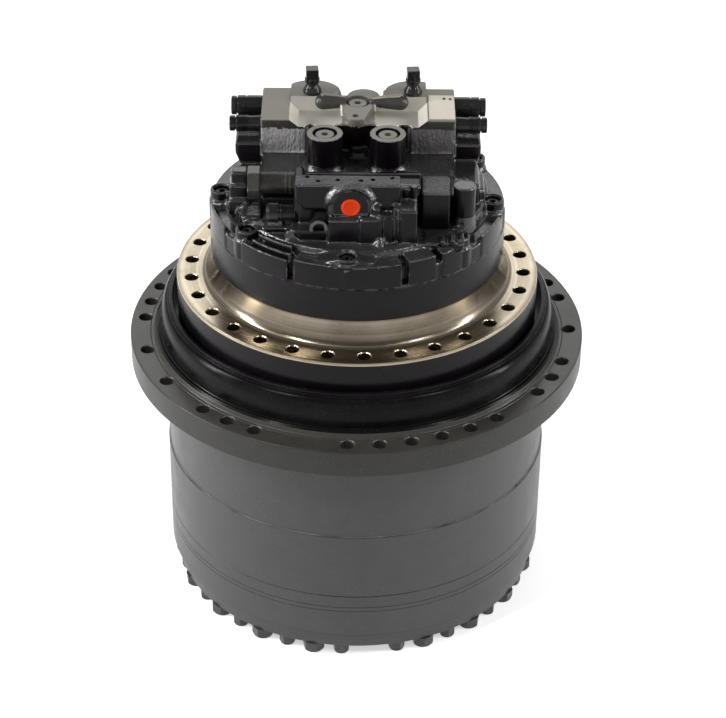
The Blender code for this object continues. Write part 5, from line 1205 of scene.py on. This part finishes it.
def cut_rear_cover(cover):
    """Mill the flat faces and bore the holes that are cut after casting."""
    ports = [port_face(spot) for spot in MAIN_PORTS]
    keep = [*ports,
            post(REAR_PORT_RADIUS + 0.002, Z_FLOOR, Z_PORT + 0.04, REAR_PORT)]
    flat = as_object(slab((-0.0935, 0.0935), (-0.045, 0.130), (Z_TOP, Z_PORT + 0.030)), "flat")
    for shape in keep:
        carve(flat, shape, solver="MANIFOLD")
    bm = bmesh.new()
    bm.from_mesh(flat.data)
    bpy.data.objects.remove(flat, do_unlink=True)
    mill(cover, [bm])
    mill(cover, [slab((-0.2, 0.2), (-0.2, 0.2), (Z_PORT, Z_PORT + 0.03))])
    for side in (-1, 1):
        span = mirrored((0.0933, 0.140), side)
        mill(cover, [slab(span, (0.015, 0.126), (Z_TOP, Z_TOP + 0.02))])
        mill(cover, [wedge((mirrored((0.0250, 0.0820), side), mirrored((0.0250, 0.1090), side)),
                           ((WEB_Y[0] - 0.008, 0.0725), (WEB_Y[0] - 0.008, 0.0860)),
                           Z_WEB - 0.0002, Z_TOP + 0.012)])
    mill(cover, [slab((-0.3, 0.3), (-0.3, 0.3), (Z_REAR_COVER - 0.02, Z_REAR_COVER))])
    for side in (-1, 1):
        carve(cover, horn(side), "UNION", "MANIFOLD")
    for spot in (*PORT_BOSSES, CENTRE_BOSS):
        mill(cover, [post(0.0168, Z_TOP - 0.012, Z_TOP + 0.012, spot, steps=48)])
    mill(cover, [post(0.0045, Z_TOP - 0.010, Z_TOP + OVERRUN, LOBE_HOLE),
                 along_x(post(0.0126, -0.090, 0.078), 0, SPOOL_Y, SPOOL_Z),
                 along_y(post(0.0128, -0.002, 0.012), PILOT_PORT_X, PILOT_FACE_Y, PILOT_PORT_Z)])
    mill(cover, [along_y(spun([(0.0245, -0.002), (0.0268, -0.002), (0.0268, 0.0016),
                               (0.0245, 0.0016)], 64), PILOT_PORT_X, PILOT_FACE_Y, PILOT_PORT_Z)])
    mill(cover, [post(0.0034, FRONT_Z[1] - 0.010, FRONT_Z[1] + 0.004, (x, y))
                 for x, y in ((-0.066, -0.121), (-0.052, -0.132), (-0.026, -0.129),
                              (0.004, -0.131), (0.020, -0.128), (0.045, -0.123))])
    for gap in blocks(*FRONT_GAPS):
        mill(cover, [gap])
    mill(cover, [turned_about_z(slab((-0.005, 0.005), (-0.206, -0.194),
                                     (Z_REAR_COVER + 0.002, Z_DECK + 0.004)), turn)
                 for turn in RIM_NOTCH_ANGLES])
    mill(cover, [spun([(0, Z_DECK - LUG_BORE_DEPTH), (LUG_BORE_RADIUS, Z_DECK - LUG_BORE_DEPTH),
                       (LUG_BORE_RADIUS, Z_DECK - 0.0032),
                       (LUG_BORE_RADIUS + 0.0045, Z_DECK + 0.001), (0, Z_DECK + 0.001)],
                      HOLE_STEPS, polar(LUG_CIRCLE, turn))
                 for turn in LUG_ANGLES])


def cover_zone(centre, normal):
    """Bare grey on milled tops, rough cast on the walls under them, black paint elsewhere; painted
    light on the recess, its slopes, the rough walls and the upward black faces.
    """
    x, y, z = abs(centre.x), centre.y, centre.z
    if z > Z_WEB and 0.062 < y < 0.100 and normal.z < 0.93 and on_horn(centre):
        return "flange"
    if y > 0.0245 and z > Z_WEB - 0.0010 and x < 0.1335:
        if normal.z > 0.97 and z > Z_TOP - 0.0004 or x < 0.022 or x > 0.097 or y > 0.084:
            return "top"
        # Painted light on the recess floor; painted reflection on its sideways slopes.
        return "bevel" if abs(normal.x) > 0.3 and normal.z < 0.97 else "recess"
    if z > Z_TOP - 0.0025 and normal.z > 0.3 and y > -0.045:
        return "top"
    if 0.062 < x < 0.134 and z > Z_WEB - 0.003 and normal.y < -0.5 and 0.01 < y < 0.04:
        return "flange"
    # Painted light: the rough cast band takes the pale lit copy on the left and the darker shaded copy
    # on the right.
    if 0.068 < x < 0.134 and Z_FLOOR - 0.002 < z < Z_WEB - 0.003 and normal.y < -0.5 \
            and 0.01 < y < 0.04:
        return "rough" if centre.x < 0 else "coarse"
    if z > FRONT_Z[1] - 0.004 and normal.z > 0.4 and y < -0.105:
        return "grit"
    if -0.104 < y < -0.058 and z > Z_FLOOR and x < 0.088:
        return "smooth"
    # Painted light: upward faces take the lighter lit-top copy of the black paint, slanted faces the
    # glossy copy with its painted edge highlight, walls the darkest.
    if normal.z > 0.72:
        return "deck"
    if normal.z > 0.15 or z > Z_FLOOR and y > 0.134:
        return "gloss"
    return "smooth"


# Plugs, valves and fittings
PORT_PLUG_RADIUS = 0.016


def make_port_plugs():
    names = ("port_plug_left", "port_plug_right", "port_plug_rear")
    for node, spot in zip(names, (*PORT_BOSSES, CENTRE_BOSS)):
        low, high = bottom(node), top(node)
        plug = as_object(spun(rounded([
            (0, low), (PORT_PLUG_RADIUS, low), (PORT_PLUG_RADIUS, high - 0.0045, 0.0003),
            (0.0132, high - 0.0045, 0.0003), (0.0128, high, 0.0010), (0, high)]), 48, spot),
            node + "_screw")
        carve(plug, extruded([ring(0.0052, 6, spot)], high - 0.006, high + OVERRUN))
        dressed(plug, "top", "motor", [node])


def make_pilot_plug():
    y0, y1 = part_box("pilot_port_plug")[0].y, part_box("pilot_port_plug")[1].y
    length = y1 - y0
    profile = rounded([(0, 0.0012), (0.0085, 0.0012, 0.0008), (0.0092, 0, 0.0008),
                       (0.0118, 0.0004, 0.001), (0.0125, 0.0025, 0.0005), (0.0125, length),
                       (0, length)])
    plug = as_object(along_y(spun(profile, 48), PILOT_PORT_X, y0, PILOT_PORT_Z), "pilot_port_cap")
    dressed(plug, "red", "motor", ["pilot_port_plug"])


def ribs(radius, start, count, pitch, depth):
    """Outline corners of round ribs along a turned piece."""
    corners = []
    for index in range(count):
        at = start + index * pitch
        corners += [(radius - depth, at), (radius - depth, at + pitch * 0.25),
                    (radius, at + pitch * 0.4), (radius, at + pitch * 0.85)]
    return corners


def make_relief_valves():
    for side, label in ((-1, "left"), (1, "right")):
        for place_name, radius, ribbed in (("rear", 0.014, False), ("front", 0.0115, True)):
            node = f"relief_valve_{label}_{place_name}"
            low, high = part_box(node)
            length = high.x - low.x
            cap = radius - 0.0028
            middle = ribs(radius, 0.018, 4, 0.0034, 0.0012) if ribbed else \
                [(radius, 0.021, 0.0004), (radius - 0.0012, 0.021), (radius - 0.0012, 0.0225),
                 (radius, 0.0225, 0.0004)]
            profile = rounded([
                (0, 0), (radius, 0, 0.0004), *middle, (radius, length - 0.009, 0.0008),
                (cap, length - 0.009), (cap, length - 0.0075),
                (cap + 0.002, length - 0.0075, 0.0004),
                (cap + 0.002, length, 0.0015), (0.005, length, 0.0004), (0.005, length - 0.003),
                (0, length - 0.003)])
            start = low.x if side > 0 else high.x
            bm = along_x(spun(profile, 40), start, (low.y + high.y) / 2,
                         (low.z + high.z) / 2, side)
            valve = as_object(bm, node + "_body")
            dressed(valve, "satin", "motor", [node])


def make_spool_cap():
    """The ribbed end of the spool housing and the square-cut nut that closes it."""
    low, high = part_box("spool_cap_left")
    barrel = 0.047
    nut_length = high.x - low.x - barrel
    profile = rounded([(0, 0), (0.0140, 0), (0.0140, 0.003), (0.0150, 0.0035, 0.0004),
                       (0.0150, 0.006, 0.0004), (0.0138, 0.0065), (0.0138, 0.009),
                       (0.0150, 0.0095, 0.0004), (0.0150, 0.012, 0.0004), (0.0140, 0.0125),
                       *ribs(0.0150, 0.014, 17, 0.00186, 0.0012), (0.0145, 0.0460),
                       (0.0145, barrel), (0, barrel)])
    bm = along_x(spun(profile, 48), high.x, SPOOL_Y, SPOOL_Z, -1)
    cap = as_object(bm, "spool_cap_left_body")
    nut = along_x(spun(rounded([(0, barrel - 0.001), (0.0222, barrel - 0.001, 0.0012),
                                (0.0222, barrel + nut_length - 0.001, 0.0014),
                                (0.0205, barrel + nut_length, 0.0008),
                                (0, barrel + nut_length)]), 48), high.x, SPOOL_Y, SPOOL_Z, -1)
    carve(cap, nut, "UNION")
    flats = []
    for index in range(6):
        face = slab((low.x - OVERRUN, low.x + nut_length + 0.0008), (-0.03, 0.03),
                    (0.0196, 0.030))
        face.transform(Matrix.Translation((0, SPOOL_Y, SPOOL_Z))
                       @ Matrix.Rotation(FULL_TURN * index / 6, 4, "X"))
        flats.append(face)
    for face in flats:
        carve(cap, face)
    dressed(cap, "flange", "motor", ["spool_cap_left"])


def make_pilot_valve():
    """The small screwed valve on the left, with a knurled sleeve behind its cap."""
    low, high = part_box("pilot_relief_valve")
    length = high.x - low.x
    profile = rounded([(0, 0), (0.0118, 0), (0.0118, 0.0008, 0.0003), (0.0098, 0.0015),
                       *ribs(0.0112, 0.002, 7, 0.0021, 0.0009), (0.0130, 0.0176, 0.0004),
                       (0.0130, 0.0188, 0.0004), (0.0112, 0.0194), (0.0112, 0.0215),
                       (0.0135, 0.0222, 0.0006), (0.0135, length - 0.004, 0.0006),
                       (0.0120, length, 0.0010), (0.005, length, 0.0005), (0.005, length - 0.004),
                       (0, length - 0.004)])
    bm = along_x(spun(profile, 40), high.x, (low.y + high.y) / 2, (low.z + high.z) / 2, -1)
    valve = as_object(bm, "pilot_relief_valve_body")
    dressed(valve, "satin", "motor", ["pilot_relief_valve"])


def make_valve_clip():
    """The bent clip that stands over the foot of the pilot valve."""
    steps = 14
    outline = []
    for radius, turns in ((0.0125, range(steps + 1)), (0.0075, range(steps, -1, -1))):
        for index in turns:
            turn = -0.15 * pi + 1.3 * pi * index / steps
            outline.append((-0.0505 + radius * cos(turn), -(Z_DECK + 0.021) - radius * sin(turn)))
    bm = extruded([outline], 0.0, 0.012)
    bm.transform(Matrix.Translation((0, -0.1560, 0)) @ Matrix.Rotation(-pi / 2, 4, "X"))
    clip = as_object(bm, "pilot_valve_clip")
    soften = clip.modifiers.new("edges", "BEVEL")
    soften.width = 0.0009
    soften.segments = 2
    soften.limit_method = "ANGLE"
    settle(clip)
    dressed(clip, "gloss", "motor")


def make_pilot_block():
    low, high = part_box("pilot_valve_block")
    shapes = [slab((low.x, high.x), (low.y, high.y), (low.z, high.z - 0.001), 0.0028),
              slab((low.x + 0.004, high.x - 0.004), (low.y + 0.010, high.y - 0.003),
                   (high.z - 0.010, high.z), 0.0015)]
    block = as_object(together(shapes), "pilot_valve_block_body")
    cast(block, 0.0011, 2)
    zone = lambda centre, normal: "grit" if centre.z > high.z - 0.004 else "smooth"
    dressed(block, "smooth grit", "motor",
            ["pilot_valve_block"], zone)


def make_fittings():
    for node in ("fitting_left", "fitting_right"):
        low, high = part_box(node)
        centre = ((low.x + high.x) / 2, (low.y + high.y) / 2)
        profile = rounded([(0, low.z - 0.006), (0.0125, low.z - 0.006), (0.0125, low.z, 0.0008),
                           (0.0105, low.z + 0.006, 0.003),
                           (0.0085, low.z + 0.009, 0.002), (0.0085, low.z + 0.0125, 0.001),
                           (0.0105, low.z + 0.0135, 0.001), (0.0105, low.z + 0.0180, 0.001),
                           (0.0092, low.z + 0.0190, 0.001), (0.0088, high.z - 0.004),
                           (0, high.z - 0.004)])
        body = as_object(spun(profile, 40, centre), node + "_body")
        half = 0.0086
        head = slab((centre[0] - half, centre[0] + half), (centre[1] - half, centre[1] + half),
                    (high.z - 0.0175, high.z), 0.0012, radians(5))
        carve(body, head, "UNION")
        dressed(body, "satin", "motor", [node])


def make_nameplate():
    """A bare plate, held by two rivets on top of the right block."""
    plate = as_object(slab((0.0965, 0.1320), (0.0285, 0.1000),
                           (Z_TOP - 0.0004, Z_TOP + 0.0009), 0.0004), "bare_nameplate")
    dressed(plate, "plate", "motor")
    rivets = []
    for spot in ((0.1180, 0.0890), (0.1265, 0.0880)):
        rivets.append(spun(rounded([(0, Z_TOP), (0.0026, Z_TOP, 0.0003),
                                    (0.0018, Z_TOP + 0.0022, 0.0008), (0, Z_TOP + 0.0024)]),
                           HOLE_STEPS, spot))
    studs = as_object(together(rivets), "nameplate_rivets")
    dressed(studs, "satin", "motor")


def make_lug_screws():
    """Socket-head screws sunk in the bolt lugs of the rear cover."""
    heads, sockets = [], []
    for turn in LUG_ANGLES:
        spot = polar(LUG_CIRCLE, turn)
        low = Z_DECK - LUG_BORE_DEPTH - 0.001
        heads.append(spun(rounded([(0, low), (0.0088, low), (0.0088, low + 0.0075, 0.001),
                                   (0, low + 0.0075)]), HOLE_STEPS, spot))
        sockets.append(extruded([ring(0.0050, 6, spot)], low + 0.002, low + 0.010))
    screws = as_object(together(heads), "rear_cover_screws")
    carve(screws, together(sockets))
    dressed(screws, "smooth", "motor")


# Studio
FLOOR_SIZE = 30.0


def seen_by(tree, path):
    """One for rays from the camera, from glossy surfaces and through clear ones."""
    return maths(tree, "MAXIMUM", path.outputs["Is Camera Ray"],
                 maths(tree, "MAXIMUM", path.outputs["Is Glossy Ray"],
                       path.outputs["Is Transmission Ray"]))


def make_floor():
    bm = bmesh.new()
    bmesh.ops.create_grid(bm, x_segments=1, y_segments=1, size=FLOOR_SIZE / 2)
    floor = as_object(bm, "floor")
    material = bpy.data.materials.new("pale_floor")
    material.use_nodes = True
    tree = material.node_tree
    shader = tree.nodes["Principled BSDF"]
    shader.inputs["Base Color"].default_value = (0.92, 0.92, 0.92, 1)
    shader.inputs["Roughness"].default_value = 0.9
    shader.inputs["Emission Color"].default_value = (1, 1, 1, 1)
    seen = seen_by(tree, add(tree, "LightPath"))
    tree.links.new(maths(tree, "MULTIPLY", seen, 0.55), shader.inputs["Emission Strength"])
    floor.data.materials.append(material)


def make_world():
    world = bpy.data.worlds.new("studio")
    world.use_nodes = True
    bpy.context.scene.world = world
    tree = world.node_tree
    back = tree.nodes["Background"]
    height = add(tree, "SeparateXYZ", {0: add(tree, "TexCoord").outputs["Generated"]})
    shade = add(tree, "ValToRGB", {0: height.outputs["Z"]})
    shade.color_ramp.elements[0].position = 0.06
    shade.color_ramp.elements[0].color = (1, 1, 1, 1)
    shade.color_ramp.elements[1].position = 0.40
    shade.color_ramp.elements[1].color = (0.18, 0.18, 0.18, 1)
    path = add(tree, "LightPath")
    tone = mixed(tree, path.outputs["Is Camera Ray"], shade.outputs[0], (1, 1, 1))
    tree.links.new(tone, back.inputs["Color"])
    seen = seen_by(tree, path)
    strength = add(tree, "MapRange", {"Value": seen, "To Min": 0.55, "To Max": 1.0})
    tree.links.new(strength.outputs[0], back.inputs["Strength"])


def lamp(name, spot, size, power, aim=(0, 0, 0.45)):
    data = bpy.data.lights.new(name, "AREA")
    data.shape = "RECTANGLE"
    data.size, data.size_y = size
    data.energy = power
    thing = bpy.data.objects.new(name, data)
    thing.location = spot
    thing.rotation_euler = (Vector(aim) - Vector(spot)).to_track_quat("-Z", "Y").to_euler()
    bpy.context.collection.objects.link(thing)


CAMERA_DROP = radians(33.13)
CAMERA_DISTANCE = 3.376
CAMERA_AIM = Vector((0, 0, 0.329))
CAMERA_ROLL = 0.009
PICTURE_WIDTH = 726
FOCAL_PIXELS = 2350.6
AXIS_PIXEL = 356.2
CENTRE_PIXEL = 363.0
SENSOR = 36.0


def make_camera():
    data = bpy.data.cameras.new("camera")
    data.sensor_fit = "HORIZONTAL"
    data.sensor_width = SENSOR
    data.lens = FOCAL_PIXELS * SENSOR / PICTURE_WIDTH
    data.shift_x = (CENTRE_PIXEL - AXIS_PIXEL) / PICTURE_WIDTH
    camera = bpy.data.objects.new("camera", data)
    away = Vector((0, -cos(CAMERA_DROP), sin(CAMERA_DROP)))
    camera.location = CAMERA_AIM + CAMERA_DISTANCE * away
    level = Matrix.Rotation(pi / 2 - CAMERA_DROP, 3, "X")
    camera.rotation_euler = (level @ Matrix.Rotation(CAMERA_ROLL, 3, "Z")).to_euler()
    bpy.context.collection.objects.link(camera)
    bpy.context.scene.camera = camera


def make_studio():
    make_floor()
    make_world()
    lamp("left_strip", (-3.0, -0.3, 1.8), (0.5, 2.2), 80)
    lamp("right_strip", (3.0, -0.3, 1.6), (0.35, 2.0), 42)
    lamp("back_softbox", (0.0, 2.9, 2.45), (3.2, 1.3), 26)
    lamp("left_high_strip", (-1.6, -1.5, 2.7), (0.16, 1.1), 24)
    lamp("right_high_strip", (1.7, -1.4, 2.6), (0.14, 1.1), 16)
    bpy.context.scene.view_settings.view_transform = "Standard"


def build():
    for step in (finish_frame_nodes, make_hub, make_ring_gears, make_end_cover, make_bolt_heads,
                 make_sealant, make_motor_housing, make_rear_cover, make_port_plugs,
                 make_pilot_plug, make_relief_valves, make_spool_cap, make_pilot_valve,
                 make_valve_clip, make_pilot_block, make_fittings, make_nameplate,
                 make_lug_screws, make_camera, make_studio):
        step()


build()
